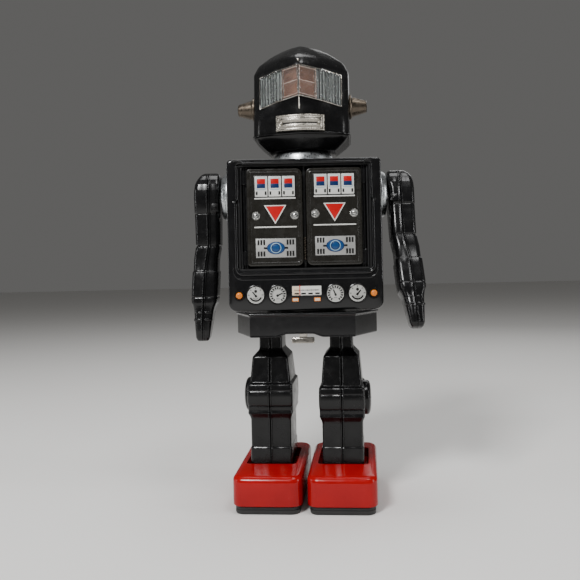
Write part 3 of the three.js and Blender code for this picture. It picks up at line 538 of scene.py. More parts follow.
BAY_HALF = TRAY_HIGH.x + 0.3
BAY_LOW = TRAY_LOW.z - 0.3
BAY_HIGH = TRAY_HIGH.z + 0.3
TIN = 1.2
WAIST_HOLE = 10
AXLE_HOLE = 3.3


def casing_ring(inset, low_radius, high_radius, y):
    radii = (low_radius, high_radius, high_radius, low_radius)
    across = (-TORSO_HALF + inset, TORSO_HALF - inset)
    upward = (TORSO_BOTTOM + inset, TORSO_TOP - inset)
    return facing(rounded(*across, *upward, radii, 10), y)


def bay_ring(grow, y):
    radii = (3 + grow, 1.5 + grow, 1.5 + grow, 3 + grow)
    return facing(rounded(-BAY_HALF - grow, BAY_HALF + grow, BAY_LOW - grow, BAY_HIGH + grow, radii, 10), y)


def hatch_ring(grow, y):
    low, high = corners("battery_box")
    edge = 0.6
    across = (low.x + edge - grow, high.x - edge + grow)
    upward = (low.z + edge - grow, high.z - edge + grow)
    return facing(rounded(*across, *upward, 1 + grow, 10), y)


def half_casing(y, direction):
    """Outer rings of one end of the casing, from its face to where the side wall begins."""
    lip = 3.6
    rows = ((1.5, 4.0, 2.2, 0.0), (0.6, 4.6, 2.7, 0.25), (0.15, 4.9, 3.0, 0.7), (0.0, 5.0, 3.1, 1.4),
            (0.0, 5.0, 3.1, lip), (0.3, 4.8, 2.9, lip + 0.25))
    return [casing_ring(inset, low, high, y + direction * depth) for inset, low, high, depth in rows]


def chest_casing():
    shape = Shape()
    front = TORSO_FRONT
    back = TORSO_BACK
    rings = [bay_ring(grow, front + depth) for grow, depth in ((0, 5), (0, 0.7), (0.25, 0.2), (0.7, 0))]
    rings += half_casing(front, 1)
    rings += reversed(half_casing(back, -1))
    rings += [hatch_ring(0.4, back), hatch_ring(0, back - 0.3), hatch_ring(0, back - TIN)]
    rings += [casing_ring(TIN, 4, 2, back - TIN), casing_ring(TIN, 4, 2, front + TIN)]
    rings += [bay_ring(0.9, front + TIN), bay_ring(0.9, front + 5)]
    shape.rings(rings, "black_tin", closed=True)
    holes = [Cutter().rod(on_top(0), WAIST_HOLE, TORSO_BOTTOM - 2, TORSO_BOTTOM + 4, count=48),
             Cutter().rod(on_side(0, 1), AXLE_HOLE, -60, 60, (0, SHOULDER.z))]
    shape.make("chest_casing", "torso", "black_tin", "torso_shell", "torso_base", cutters=holes)


BEAD_HALF = 42.3
BEAD_LOW = 145.0
BEAD_TOP = 188.0
BAR_HALF = 36.6


def u_path(half, low, high, bend, y):
    """Path of a U-shaped bead on the chest front, from its left top end round to the right."""
    points = [(-half, y, high), (-half, y, low + bend)]
    for k in range(1, 9):
        angle = math.radians(180 + 90 * k / 8)
        points.append((-half + bend + bend * math.cos(angle), y, low + bend + bend * math.sin(angle)))
    return points + mirrored(reversed(points), -1)


def mirrored(points, sign):
    return [(sign * x, y, z) for x, y, z in points]


def chest_trim():
    """Pressed beads of the chest front: the U frame with its hooked ends, its lower step and the top bar."""
    shape = Shape()
    front = TORSO_FRONT
    shape.tube(u_path(BEAD_HALF, BEAD_LOW, BEAD_TOP, 4.0, front), 0.9, "black_tin")
    shape.tube(u_path(44.2, 141.8, 150, 5.5, front + 0.45), 0.6, "black_tin")
    pillar = BAY_HALF - 0.1
    hook_path = ((BEAD_HALF, front, BEAD_TOP - 0.8), (BEAD_HALF, front - 0.15, BEAD_TOP + 0.6),
                 (BEAD_HALF + 0.6, front, BEAD_TOP + 1.6), (BEAD_HALF + 1.6, front + 0.3, BEAD_TOP + 2.0))
    mitre_path = ((BAR_HALF, front - 0.1, BAY_HIGH - 0.2), (38.6, front, BAY_HIGH + 1.3),
                  (41.6, front + 0.2, TORSO_TOP - 1.0))
    pillar_path = ((pillar, front + 0.2, BAY_HIGH - 1), (pillar, front + 0.2, BEAD_TOP + 3))
    for sign in (-1, 1):
        for path, radius in ((hook_path, 0.85), (mitre_path, 0.8), (pillar_path, 0.8)):
            shape.tube(mirrored(path, sign), radius, "black_tin")
    bar = [(x, front - 0.1, BAY_HIGH + 0.4) for x in (-BAR_HALF, BAR_HALF)]
    shape.tube(bar, 0.75, "black_tin")
    shape.make("chest_trim", "torso", "black_tin")


def bay_fittings():
    """Folded strips in the recess beside the doors, and the closing spring in the gap between them."""
    shape = Shape()
    for sign in (-1, 1):
        for x, y, radius in ((39.2, DOOR_FRONT + 2.2, 0.75), (36.0, DOOR_FRONT + 3.4, 0.6)):
            path = [(sign * x, y, BAY_LOW + 1.8), (sign * x, y, BAY_HIGH - 1.8)]
            shape.tube(path, radius, "tray_black", 10)
    shape.make("bay_ribs", "torso", "grey_plastic")
    spring = Shape()
    radius = 0.7
    length = 14.0
    turns = 9
    steps = turns * 10
    helix = []
    for i in range(steps + 1):
        angle = 2 * math.pi * i / 10
        helix.append((radius * math.cos(angle), DOOR_FRONT + 2.6 + radius * math.sin(angle),
                      DOOR_LOW.z + 3.5 + length * i / steps))
    spring.tube(helix, 0.28, "ear_metal", 8)
    spring.make("door_spring", "torso", "steel")


# ---- dashboard

DASH = on_front(TORSO_FRONT)
DIAL_HEIGHT = 132.4
LAMP_HEIGHT = 129.0
SCALE_HEIGHT = 134.5


def disc(radius):
    return lambda inset: ring_of(radius - inset, 36)


def moved(outline, dx, dz):
    return lambda inset: [(x + dx, z + dz) for x, z in outline(inset)]


def slab(half_width, half_height, radius, steps=4):
    return lambda inset: rounded(-half_width + inset, half_width - inset, -half_height + inset,
                                 half_height - inset, max(radius - inset, 0.02), steps)


def annulus(shape, inner, outer, start, end, centre, height, look):
    """Raised flat arc on the dashboard, between two radii and two angles in degrees."""
    rings = []
    for k in range(41):
        angle = math.radians(start + (end - start) * k / 40)
        c, s = math.cos(angle), math.sin(angle)
        section = ((inner, 0.0), (outer, 0.0), (outer, height), (inner, height))
        rings.append([DASH(centre[0] + r * c, centre[1] + r * s, w) for r, w in section])
    shape.rings(rings, look)


def mark(shape, outline, angle, reach, centre, height, look):
    """Small plate at a distance from a dial's centre, turned to point away from it."""
    c, s = math.cos(angle), math.sin(angle)
    u = centre[0] + reach * c
    v = centre[1] + reach * s
    shape.plaque(lambda inset: [(x * c - z * s + u, x * s + z * c + v) for x, z in outline(inset)],
                 DASH, height, look, 0.04)


def gauge(name, x, needle_angle, style):
    """Round dial in a black bezel with a painted highlight low on its inner edge: a ring of ticks, or a dot
    over a printed arc, under a black needle.
    """
    shape = Shape()
    z = DIAL_HEIGHT
    centre = (x, z)
    bezel = [(6.3, 0.0), (6.3, 0.35), (6.1, 0.7), (5.7, 0.9), (5.4, 0.8), (5.25, 0.4), (5.25, 0.0)]
    shape.turned(bezel, DASH, "black_plastic", 48, centre)
    shape.plaque(moved(disc(5.2), x, z), DASH, 0.45, "dial_face", 0.1)
    # Painted highlight: a white arc along the lower inner edge of the bezel, where the light catches it.
    annulus(shape, 4.85, 5.15, 190, 350, centre, 0.5, "ink_white")
    if style == "ticks":
        for k in range(15):
            angle = math.radians(-55 + 290 * k / 14)
            mark(shape, slab(0.68, 0.46, 0.05, 2), angle, 4.15, centre, 0.53, "ink_black")
        annulus(shape, 3.1, 3.28, -20, 200, centre, 0.52, "ink_grey")
        mark(shape, slab(1.1, 0.2, 0.05, 2), 0, -2.6, (x + 2.6, z - 2.6), 0.53, "ink_grey")
    else:
        for k in range(5):
            mark(shape, slab(0.5, 0.2, 0.05, 2), math.radians(45 * k), 4.2, centre, 0.53, "ink_black")
        annulus(shape, 3.15, 4.1, 205, 335, centre, 0.54, "ink_black")
        shape.plaque(moved(disc(0.9), x, z + 2.3), DASH, 0.56, "ink_black", 0.05)
        annulus(shape, 1.45, 1.8, 205, 335, (x, z - 0.9), 0.53, "ink_grey")
    pivot = (x, z - 0.5)
    mark(shape, slab(2.1, 0.38, 0.3, 3), needle_angle, 1.1, pivot, 0.66, "ink_black")
    mark(shape, slab(0.75, 0.68, 0.4, 3), needle_angle, -0.2, pivot, 0.68, "ink_black")
    shape.make(name, "torso", "door_print")


def scale_panel():
    """Lit scale with a red line across it, a row of fine ticks and four dashes."""
    panel = Shape()

    def put(outline, x, rise, height, look, ease):
        panel.plaque(moved(outline, x, SCALE_HEIGHT + rise), DASH, height, look, ease)

    put(slab(9.4, 3.3, 0.5), 0.4, 0, 0.22, "ink_black", 0.08)
    put(slab(8.95, 2.85, 0.35), 0.4, 0, 0.4, "ink_white", 0.08)
    put(slab(2.35, 2.7, 0.2), -6.1, 0, 0.46, "ink_cream", 0.05)
    put(slab(0.26, 3.2, 0.1), -3.8, 0.3, 0.55, "ink_red", 0.05)
    for k in range(4):
        put(slab(1.4, 0.5, 0.1), -5.8 + 4.25 * k, -1.8, 0.5, "ink_black", 0.04)
    for k in range(24):
        tall = 0.5 if k % 4 == 0 else 0.3
        put(slab(0.17, tall, 0.04), -6.9 + 0.64 * k, 0.3, 0.5, "ink_black", 0.02)
    panel.make("scale_panel", "torso", "door_print")


def dashboard():
    dials = ((-31.0, 128, "dot"), (-17.4, 25, "ticks"), (18.0, 112, "ticks"), (31.6, 50, "dot"))
    for k, (x, needle, style) in enumerate(dials):
        gauge(f"dial_{k + 1}", x, math.radians(needle), style)
    scale_panel()
    for k, x in enumerate((-6.6, 6.9)):
        lamp = Shape()
        lamp.plaque(moved(slab(2.5, 1.6, 0.4), x, LAMP_HEIGHT), DASH, 0.3, "ink_black", 0.1)
        lamp.plaque(moved(slab(2.05, 1.2, 0.3), x, LAMP_HEIGHT), DASH, 0.7, "lamp_amber", 0.3)
        lamp.plaque(moved(slab(1.6, 0.8, 0.25), x, LAMP_HEIGHT), DASH, 0.86, "ink_cream", 0.1)
        lamp.make(f"panel_lamp_{k + 1}", "torso", "door_print")
    radius = 2.05
    dome = [(radius, 0.1), (radius, 0.7)]
    for i in range(1, 6):
        angle = math.radians(15 * i)
        dome.append((radius * math.cos(angle), 0.7 + math.sin(angle)))
    dome.append((0.1, 1.7))
    socket = [(3.5, 0), (3.5, 0.4), (3.2, 0.8), (2.5, 0.8), (2.15, 0.3), (2.15, 0)]
    for k, x in enumerate((-41.1, 41.7)):
        lamp = Shape()
        lamp.turned(socket, DASH, "black_plastic", 32, (x, DIAL_HEIGHT - 0.2))
        lamp.turned(dome, DASH, "lamp_amber", 24, (x, DIAL_HEIGHT - 0.2))
        lamp.make(f"side_lamp_{k + 1}", "torso", "door_print")


# ---- chest doors

SWITCH_HEIGHT = 198.0
BUTTON_HEIGHT = 180.6
EYE_HEIGHT = 160.6
DOOR_NEAR = 1.2
DOOR_FAR = 35.4
PRINT_RISE = {"left": 1.3, "right": 0.5}


def switch_print(put, x, z):
    """One printed switch: a framed window with a red block over a blue one, and two slots below."""
    put(slab(3.85, 6.25, 0.3), x, z + 0.3, 0.33, "ink_white")
    put(slab(3.35, 4.0, 1.2), x, z + 2.1, 0.38, "ink_pale")
    put(slab(3.0, 3.6, 1.0), x, z + 2.2, 0.43, "ink_white")
    put(slab(2.6, 1.55, 0.2), x, z + 3.5, 0.54, "ink_red", 0.1)
    put(slab(2.6, 1.35, 0.2), x, z + 0.6, 0.54, "ink_blue", 0.1)
    for end in (-1, 1):
        put(slab(0.55, 1.1, 0.1), x + 2.75 * end, z - 3.8, 0.45, "ink_black")


def oval(a, b):
    angles = [2 * math.pi * i / 40 for i in range(40)]
    return lambda inset: [((a - inset) * math.cos(t), (b - inset) * math.sin(t)) for t in angles]


def eye_print(put, z):
    """Slotted silver panel with a round blue eye."""
    put(slab(12.7, 6.2, 0.4), 0, z, 0.14, "ink_black")
    put(slab(12.35, 5.85, 0.3), 0, z, 0.28, "ink_silver")
    for side in (-1, 1):
        for up in (-1, 1):
            for k in range(3):
                put(slab(0.58, 1.6, 0.1), side * (7.2 + 1.75 * k), z + 3.5 * up, 0.38, "ink_black")
        put(slab(1.3, 0.6, 0.2), side * 6.2, z, 0.4, "ink_black")
    ovals = ((5.6, 3.9, 0.46, "ink_blue", 0.08), (5.0, 3.5, 0.52, "ink_sky", 0.08),
             (3.3, 3.2, 0.58, "ink_pale", 0.08), (2.85, 2.75, 0.64, "ink_blue", 0.08),
             (2.2, 2.1, 0.74, "ink_sky", 0.12))
    for a, b, height, look, ease in ovals:
        put(oval(a, b), 0, z, height, look, ease)


def door_print(shape, centre, rise, plane):
    """Printed switches, warning triangle, buttons, bar and the slotted panel with its round eye."""
    def put(outline, dx, z, height, look, ease=0.06):
        shape.plaque(moved(outline, centre + dx, z + rise), plane, height, look, ease)

    put(slab(13.0, 7.4, 0.5), 0, SWITCH_HEIGHT, 0.14, "ink_black")
    put(slab(12.7, 7.1, 0.4), 0, SWITCH_HEIGHT, 0.26, "ink_black")
    put(slab(12.7, 0.4, 0.2), 0, 191.2, 0.36, "ink_white")
    for k in (-1, 0, 1):
        switch_print(put, 8.4 * k, 198.3)

    def triangle(inset):
        half = 6.9 - inset * 1.9
        top = 187.0 + rise - inset
        point = 175.4 + rise + inset * 2.2
        return [(centre - half, top), (centre, point), (centre + half, top)]

    shape.plaque(triangle, plane, 0.3, "ink_white", 0.06)
    shape.plaque(lambda inset: triangle(0.6 + inset), plane, 0.42, "ink_red", 0.06)
    button = [(2.6, 0), (2.6, 0.35), (2.35, 0.6), (1.95, 0.62), (1.7, 0.45), (1.25, 0.45), (1.1, 0.75),
              (0.7, 0.95), (0.05, 1.0)]
    for end in (-1, 1):
        spot = (centre + 12.0 * end, BUTTON_HEIGHT + rise)
        shape.turned(button, plane, "button_silver", 28, spot)
        shape.plaque(moved(disc(1.62), *spot), plane, 0.5, "ink_grey", 0.05)
    put(slab(13.2, 0.42, 0.4), 0, 173.5, 0.5, "ink_white", 0.3)
    eye_print(put, EYE_HEIGHT)


def door_ring(x0, x1, sign, inset, y):
    inner = max(3.4 - inset, 0.4)
    outer = max(2.0 - inset, 0.4)
    radii = (outer, outer, inner, inner) if sign > 0 else (inner, inner, outer, outer)
    return facing(rounded(x0 + inset, x1 - inset, DOOR_LOW.z + inset, DOOR_HIGH.z - inset, radii, 6), y)


def chest_door(side, sign):
    """Printed door with a pressed bead round its edge and two hinge knuckles."""
    x0, x1 = sorted((sign * DOOR_NEAR, sign * DOOR_FAR))
    shape = Shape()
    front = DOOR_FRONT
    rows = ((0.0, 1.2), (0.0, 0.35), (0.15, 0.1), (0.45, 0.0), (1.5, 0.0), (1.75, -0.35), (2.1, -0.48),
            (2.45, -0.35), (2.75, 0.05), (3.1, 0.08))
    shape.rings([door_ring(x0, x1, sign, inset, front + depth) for inset, depth in rows], "door_print")
    web0, web1 = sorted((sign * 34.0, sign * 36.2))
    web = [(web0, front + 1.0), (web1, front + 1.0), (web1, HINGE_Y + 0.6), (web0, HINGE_Y + 0.6)]
    for z in (DOOR_LOW.z + 0.5, DOOR_HIGH.z - 9.5):
        knuckle = [(1.0, z + 0.2), (1.7, z), (1.9, z + 0.3), (1.9, z + 8.7), (1.7, z + 9), (1.0, z + 8.8)]
        shape.turned(knuckle, on_top(0), "black_tin", 24, (sign * HINGE.x, HINGE_Y), closed=True)
        shape.rings([level(web, h) for h in (z + 0.2, z + 8.8)], "black_tin")
    door_print(shape, (x0 + x1) / 2 + 0.3, PRINT_RISE[side], on_front(front + 0.08))
    shape.make(f"door_panel_{side}", f"chest_door_{side}", "door_print", f"chest_door_{side}", angle=30)


# ---- head

HEAD_HALF = 30.9
EAR_REACH = (HEAD.inverted() @ sum(corners("ear_left"), Vector()) / 2).x + 7.8
HEAD_LOW = 233.3
# Height, half width, and the depths of the prow, the cheeks and the back.
HEAD_ROWS = (
    (HEAD_LOW, 30.9, -27.0, -19.0, 28.0), (244.0, 30.9, -28.5, -18.0, 28.0),
    (252.0, 30.9, -31.0, -15.0, 28.0), (274.0, 30.9, -32.0, -13.0, 28.0), (280.0, 28.0, -29.0, -11.0, 26.0),
    (286.5, 20.0, -20.0, -7.0, 21.0), (290.6, 12.6, -12.6, -4.2, 14.6), (292.2, 7.6, -8.0, -2.6, 9.4),
    (293.0, 1.2, -1.4, -0.4, 1.6))
# The same, for the chin and its rolled rim, with an inset of the whole plan at the end.
CHIN_ROWS = (
    (223.4, 22, -21.4, -14.4, 21.6, 0.5), (223.7, 22, -21.4, -14.4, 21.6, 0.1), (225, 23.6, -22.2, -15, 22.8),
    (227, 25.8, -23.4, -16.3, 24.4), (229.4, 28.6, -25.4, -17.8, 26.2), (231.3, 30.3, -26.7, -18.8, 27.6),
    (231.9, 30.5, -26.8, -18.9, 27.7), (232.1, 31.1, -27.4, -19.4, 28.3), (232.5, 31.4, -27.6, -19.6, 28.5),
    (233.0, 31.4, -27.6, -19.6, 28.5), (233.3, 31.1, -27.4, -19.4, 28.3), (233.4, 30.2, -26.4, -18.4, 27.4))


def head_row(z):
    """Half width, prow, cheek and back of the head at one height."""
    for low, high in zip(HEAD_ROWS, HEAD_ROWS[1:]):
        if low[0] <= z <= high[0]:
            t = (z - low[0]) / (high[0] - low[0])
            return [a + (b - a) * t for a, b in zip(low[1:], high[1:])]
    return list(HEAD_ROWS[0][1:] if z < HEAD_ROWS[0][0] else HEAD_ROWS[-1][1:])


def prow_line(half, prow, cheek, inset=0.0):
    """Corners of the head's front, from its middle to one side."""
    return ((0.0, prow + inset), (half * 0.45, prow + (cheek - prow) * 0.4 + inset),
            (half * 0.86, cheek + inset), (half, cheek + inset + half * 0.14))


def head_front(x, z):
    """Depth of the head's front at a place across and up."""
    half, prow, cheek, _ = head_row(z)
    return along(prow_line(half, prow, cheek), abs(x))


def smoothed(points, share, steps=3):
    """Closed outline with every corner replaced by a short curve."""
    result = []
    count = len(points)
    for i, point in enumerate(points):
        point = Vector(point)
        before = point.lerp(Vector(points[i - 1]), share)
        after = point.lerp(Vector(points[(i + 1) % count]), share)
        for step in range(steps + 1):
            t = step / steps
            result.append(tuple(before.lerp(point, t).lerp(point.lerp(after, t), t)))
    return result


def head_plan(half, prow, cheek, back, inset=0.0):
    """Outline of the head from above: a prow in front and round corners behind."""
    width = half - inset
    corner = min(8, width * 0.4)
    rear = back - inset
    points = list(prow_line(width, prow, cheek, inset))
    for angle in range(0, 91, 18):
        a = math.radians(angle)
        points.append((width - corner + corner * math.cos(a), rear - corner + corner * math.sin(a)))
    return smoothed(points + [(-x, y) for x, y in reversed(points[1:])], 0.22)


def head_shell():
    shape = Shape(HEAD)
    heights = [HEAD_LOW, 233.7, 238, 244, 248, 252, 258, 264, 270, 273, 274.2, 276, 278.5, 280.5, 283, 285.5,
               287.5, 289.3, 290.6, 291.6, 292.2, 292.6, 292.85, 292.93]
    outer = [level(head_plan(*head_row(z), 0.35 if z == HEAD_LOW else 0), z) for z in heights]
    inner = []
    for z in (290.6, 285.5, 278.5, 270, 252, HEAD_LOW):
        drop = 1.4 if z > 280 else 0
        inner.append(level(head_plan(*head_row(z), 1.5), z - drop))
    shape.rings(inner + outer, "black_plastic")
    window = Cutter(HEAD)
    window.rings([facing(visor_outline(-0.5), y) for y in (-45, -5)], "ink_black")
    shape.make("head_cap", "torso", "black_plastic", "head_shell", angle=24, cutters=[window])


def head_base():
    """Tapered chin under a rolled rim."""
    shape = Shape(HEAD)
    shape.rings([level(head_plan(*plan), z) for z, *plan in CHIN_ROWS], "black_plastic")
    shape.make("head_chin", "torso", "black_plastic", "head_base", angle=30)


VISOR_HALF = (VISOR_HIGH.x - VISOR_LOW.x) / 2
VISOR_RISE = 4.8
VISOR_DROP = 3.1
PANE_HALF = 10.3
RODS = 8
ROD_PITCH = (VISOR_HALF - PANE_HALF) / RODS


def visor_height(x, share, margin=0.0):
    """Height at a share of the way up the visor, inside a margin."""
    low = VISOR_LOW.z + VISOR_RISE * (1 - abs(x) / VISOR_HALF)
    high = VISOR_HIGH.z - VISOR_DROP * abs(x) / VISOR_HALF
    return low + margin + (high - low - 2 * margin) * share


def visor_outline(grow):
    half = VISOR_HALF + grow
    side_low = VISOR_LOW.z - grow
    side_high = VISOR_HIGH.z - VISOR_DROP + grow
    return [(-half, side_low), (0, VISOR_LOW.z + VISOR_RISE - grow), (half, side_low),
            (half, side_high), (0, VISOR_HIGH.z + grow), (-half, side_high)]


def ridge(distance, width, height):
    """Rounded ridge that is highest where the distance is zero."""
    if abs(distance) >= width:
        return 0.0
    return height * math.cos(min(abs(distance) / width, 1) * math.pi / 2) ** 0.8


def visor_relief(x, t):
    """How far the clear moulding stands out: upright flutes at the sides, framed panes in the middle."""
    relief = ridge(min(t, 1 - t), 0.07, 0.75)
    if abs(x) < PANE_HALF:
        relief = max(relief, ridge(x, 0.8, 1.1), ridge(t - 0.5, 0.05, 0.7))
    else:
        relief = max(relief, 0.6 * abs(math.sin(math.pi * (abs(x) - PANE_HALF) / ROD_PITCH)))
    return max(relief, ridge(abs(x) - PANE_HALF, 0.7, 1.0), ridge(VISOR_HALF - abs(x), 0.6, 0.9))


def on_head(x, z, lift):
    """Point standing off the head's front, or behind it when the lift is negative."""
    return (x, head_front(x, z) - lift, z)


def visor():
    shape = Shape(HEAD)
    columns = 168
    levels = 40

    def place(c, r):
        x = -VISOR_HALF + 2 * VISOR_HALF * c / columns
        z = visor_height(x, r / levels)
        return (x, head_front(x, z) - 0.35 - visor_relief(x, r / levels), z)

    shape.grid(place, columns, levels, 1.6, "clear_plastic")
    shape.make("visor_moulding", "torso", "clear_plastic", "visor", angle=60)


def visor_line(xa, xb, share, lift):
    """Path across the visor's front between two places, at a share of its height."""
    places = [xa + (xb - xa) * k / 14 for k in range(15)]
    return [on_head(x, visor_height(x, share), lift) for x in places]


def upright(x, lift, first=0.02, last=0.98):
    """Path up the visor's front."""
    return [on_head(x, visor_height(x, share), lift) for share in (first, 0.25, 0.5, 0.75, last)]


def visor_frame():
    """Bright edge around the visor, the strip down the prow below it, and painted highlights along the ridges
    between the panes and on the flute crests.
    """
    shape = Shape(HEAD)
    path = []
    outline = visor_outline(0.1)
    for (xa, za), (xb, zb) in zip(outline, outline[1:] + outline[:1]):
        path += [on_head(xa + (xb - xa) * k / 8, za + (zb - za) * k / 8, 0.2) for k in range(8)]
    shape.tube(path, 0.32, "nickel", 10, closed=True)
    strip = [on_head(0, z, 0.1) for z in (254.6, 252.5, 250.5, 248.5, 247.0)]
    shape.tube(strip, 0.5, "nickel", 12)
    knob = [(0.8, -0.6), (0.8, 0.3), (0.6, 0.7), (0.05, 0.9)]
    shape.turned(knob, on_front(head_front(0, 276.4)), "nickel", 20, (0, 276.6))
    shape.make("visor_frame", "torso", "nickel")
    panes = Shape(HEAD)
    # Bright lines laid along the clear ridges between the panes are painted highlights.
    for sign in (-1, 1):
        panes.tube(upright(sign * PANE_HALF, 1.2), 0.32, "pane_edge", 10)
        panes.tube(upright(sign * 0.55, 1.25), 0.26, "pane_edge", 10)
        for share in (0.06, 0.5, 0.94):
            panes.tube(visor_line(sign * 0.7, sign * (PANE_HALF - 0.2), share, 1.0), 0.24, "pane_edge", 10)
        panes.tube(upright(sign * (PANE_HALF - 0.9), 0.9, 0.06, 0.94), 0.14, "pane_edge", 8)
        # Silver lines on each flute's crest are painted highlights.
        for k in range(RODS):
            crest = upright(sign * (PANE_HALF + (k + 0.5) * ROD_PITCH), 0.95, 0.06, 0.94)
            panes.tube(crest, 0.12 + 0.05 * (k % 3), "rod_silver", 8)
    panes.make("pane_frames", "torso", "nickel")


def visor_backing():
    """Dark wall with bright upright rods behind the flutes, and the copper-toned panel behind the panes."""
    shape = Shape(HEAD)
    margin = 0.6
    for sign in (-1, 1):
        def wall(c, r):
            x = sign * (PANE_HALF + 0.4 + (VISOR_HALF - PANE_HALF - 1.2) * c / 16)
            return on_head(x, visor_height(x, r / 8, margin), -3.0)

        shape.grid(wall, 16, 8, 0.4, "ink_black")
        for k in range(RODS):
            x = sign * (PANE_HALF + (k + 0.5) * ROD_PITCH)
            shape.tube(upright(x, -2.5, 0.04, 0.96), 0.3 + 0.08 * (k % 3), "rod_silver", 10)
    shape.make("visor_reflector", "torso", "nickel")

    def dished(c, r):
        x = -PANE_HALF + 0.3 + (2 * PANE_HALF - 0.6) * c / 32
        z = visor_height(x, r / 32, margin)
        u = (abs(x) - PANE_HALF / 2) / (PANE_HALF / 2)
        v = ((r / 32 * 2) % 1 - 0.5) * 2
        dish = 0.8 * max(0.0, 1 - u * u) * max(0.0, 1 - v * v)
        return (x, head_front(x, z) + 3.0 - dish, z)

    panel = Shape(HEAD)
    panel.grid(dished, 32, 32, 0.5, "amber_panel")
    panel.make("figure_panel", "torso", "amber_panel", "visor_panel", angle=60)


MOUTH_HALF = (MOUTH_HIGH.x - MOUTH_LOW.x) / 2


def mouth_front(x):
    """Depth of the mouth plate's face: a gentle bow from cheek to cheek."""
    prow = head_front(0, (MOUTH_LOW.z + MOUTH_HIGH.z) / 2)
    reach = head_front(MOUTH_HALF, MOUTH_LOW.z + 4) - prow
    return prow + reach * (x / MOUTH_HALF) ** 2


def slot_distance(x, up, half, radius):
    """How far a place is outside a long round-ended slot."""
    return math.hypot(max(abs(x) - half, 0.0), up) - radius


def mouth():
    """Bright plate with a raised border, a round-ended ridge about a black groove, and two rivets."""
    shape = Shape(HEAD)
    low = MOUTH_LOW.z
    high = MOUTH_HIGH.z
    middle = (low + high) / 2 - 0.2
    levels = 60
    columns = 96

    def place(c, r):
        x = -MOUTH_HALF + 2 * MOUTH_HALF * c / columns
        z = low + (high - low) * (r / levels)
        border = min(MOUTH_HALF - abs(x), z - low, high - z)
        out = 0.35 + 0.45 * math.sin(min(border / 0.7, 1.0) * math.pi / 2)
        out -= ridge(border - 1.5, 0.4, 0.22)
        out += ridge(slot_distance(x, z - middle, 11.4, 1.9), 0.6, 0.45)
        out -= ridge(slot_distance(x, z - middle, 11.0, 0.0), 0.9, 0.6)
        return (x, mouth_front(x) - out, z)

    shape.grid(place, columns, levels, 1.5, "mouth_nickel")
    groove = [(x, mouth_front(x) - 0.15, middle) for x in (10.8 * k / 8 for k in range(-8, 9))]
    shape.tube(groove, 0.4, "ink_black", 10)
    rivet = [(0.95, -0.6), (0.95, 0.3), (0.7, 0.75), (0.03, 0.95)]
    for sign in (-1, 1):
        shape.turned(rivet, on_front(mouth_front(11.6) - 0.7), "mouth_nickel", 20, (sign * 11.8, middle))
    shape.make("mouth_plate", "torso", "nickel", "mouth_grille", angle=50)


def ears():
    root = HEAD_HALF + 0.3
    tip = EAR_REACH - root
    profile = [(3.8, -3.5), (8.0, 0.0), (8.0, 0.7), (7.7, 1.1), (7.0, 1.25), (6.5, 1.5), (6.3, 1.9),
               (6.1, 3.0), (5.2, 6.0), (4.4, 9.0), (4.1, tip - 1.1), (3.9, tip - 0.5), (3.5, tip - 0.15),
               (3.0, tip), (1.5, tip), (1.35, tip - 0.35), (0.05, tip - 0.35)]
    for side, sign in SIDES:
        shape = Shape(HEAD)
        shape.turned(profile, on_side(root, sign), "ear_metal", 48, (0, (EAR_LOW.z + EAR_HIGH.z) / 2))
        shape.make(f"ear_cone_{side}", "torso", "ear_metal", f"ear_{side}", angle=30)


def neck():
    shape = Shape()
    profile = [(12, 0.0), (20.0, 0.0), (20.35, 0.25), (20.4, 1.0), (20.25, 1.4), (19.9, 1.6), (19.75, 2.4),
               (19.5, 3.8), (19.0, 5.0), (18.3, 6.0), (17.4, 6.6), (12, 6.7)]
    shape.turned(profile, on_top(NECK_LOW.z), "silver_paint", 72, closed=True)
    shape.make("neck_collar", "torso", "silver_paint", "neck_ring", angle=35)


# ---- limbs

LIP_WIDTH = 1.15


def half_section(half, depth, middle, corner, sign, lip):
    """Outline of one half of a limb's section with its seam lip, on the plus or minus side of the seam."""
    corner = min(corner, half * 0.8, depth * 0.8)
    front = middle - depth
    back = middle + depth
    gap = 0.15
    crest = min(LIP_WIDTH, half * 0.35)
    turn = [(gap, lip * 0.6), (gap + 0.2, lip * 0.95), (crest * 0.55, lip), (crest * 0.8, lip * 0.85),
            (crest, lip * 0.5), (crest + 0.05, lip * 0.1), (crest + 0.25, 0.0)]
    flat = half - corner
    between = (flat + crest + 0.25) / 2
    has_flat = flat > crest + 0.6
    angles = [math.radians(15 * step) for step in range(-6, 7)]
    points = [(x, front - out) for x, out in turn]
    if has_flat:
        points.append((between, front))
    points += [(flat + corner * math.cos(a), front + corner + corner * math.sin(a)) for a in angles[:7]]
    points.append((half, middle))
    points += [(flat + corner * math.cos(a), back - corner + corner * math.sin(a)) for a in angles[6:]]
    if has_flat:
        points.append((between, back))
    points += [(x, back + out) for x, out in reversed(turn)]
    return [(sign * x, y) for x, y in points]


def limb_half(shape, rows, corner, sign, lip=1.0):
    """Skin over (height, half width, half depth, middle) rows, with finer lips where the limb is thin."""
    rings = []
    for z, half, depth, middle in rows:
        thin = min(1.0, half / 4, depth / 8)
        rings.append(level(half_section(half, depth, middle, corner * thin, sign, lip * thin), z))
    shape.rings(rings, "black_plastic")


def eased(rows, reach=0.3):
    """Rows with each sharp change of size doubled, so that ridges and steps get small rounded edges."""
    result = [rows[0]]
    for before, row, after in zip(rows, rows[1:], rows[2:]):
        gap_low = row[0] - before[0]
        gap_high = after[0] - row[0]
        a = min(reach, gap_low * 0.35) / gap_low
        b = min(reach, gap_high * 0.35) / gap_high
        first = [r + (q - r) * a for r, q in zip(row, before)]
        last = [r + (q - r) * b for r, q in zip(row, after)]
        centre = [(p + 2 * q + s) / 4 for p, q, s in zip(first, row, last)]
        result += [first, centre, last]
    result.append(rows[-1])
    return result


KNEE_Z = 64.5
KNEE_RISE = {"left": -1.2, "right": 1.4}
LEG_CORNER = 2.2
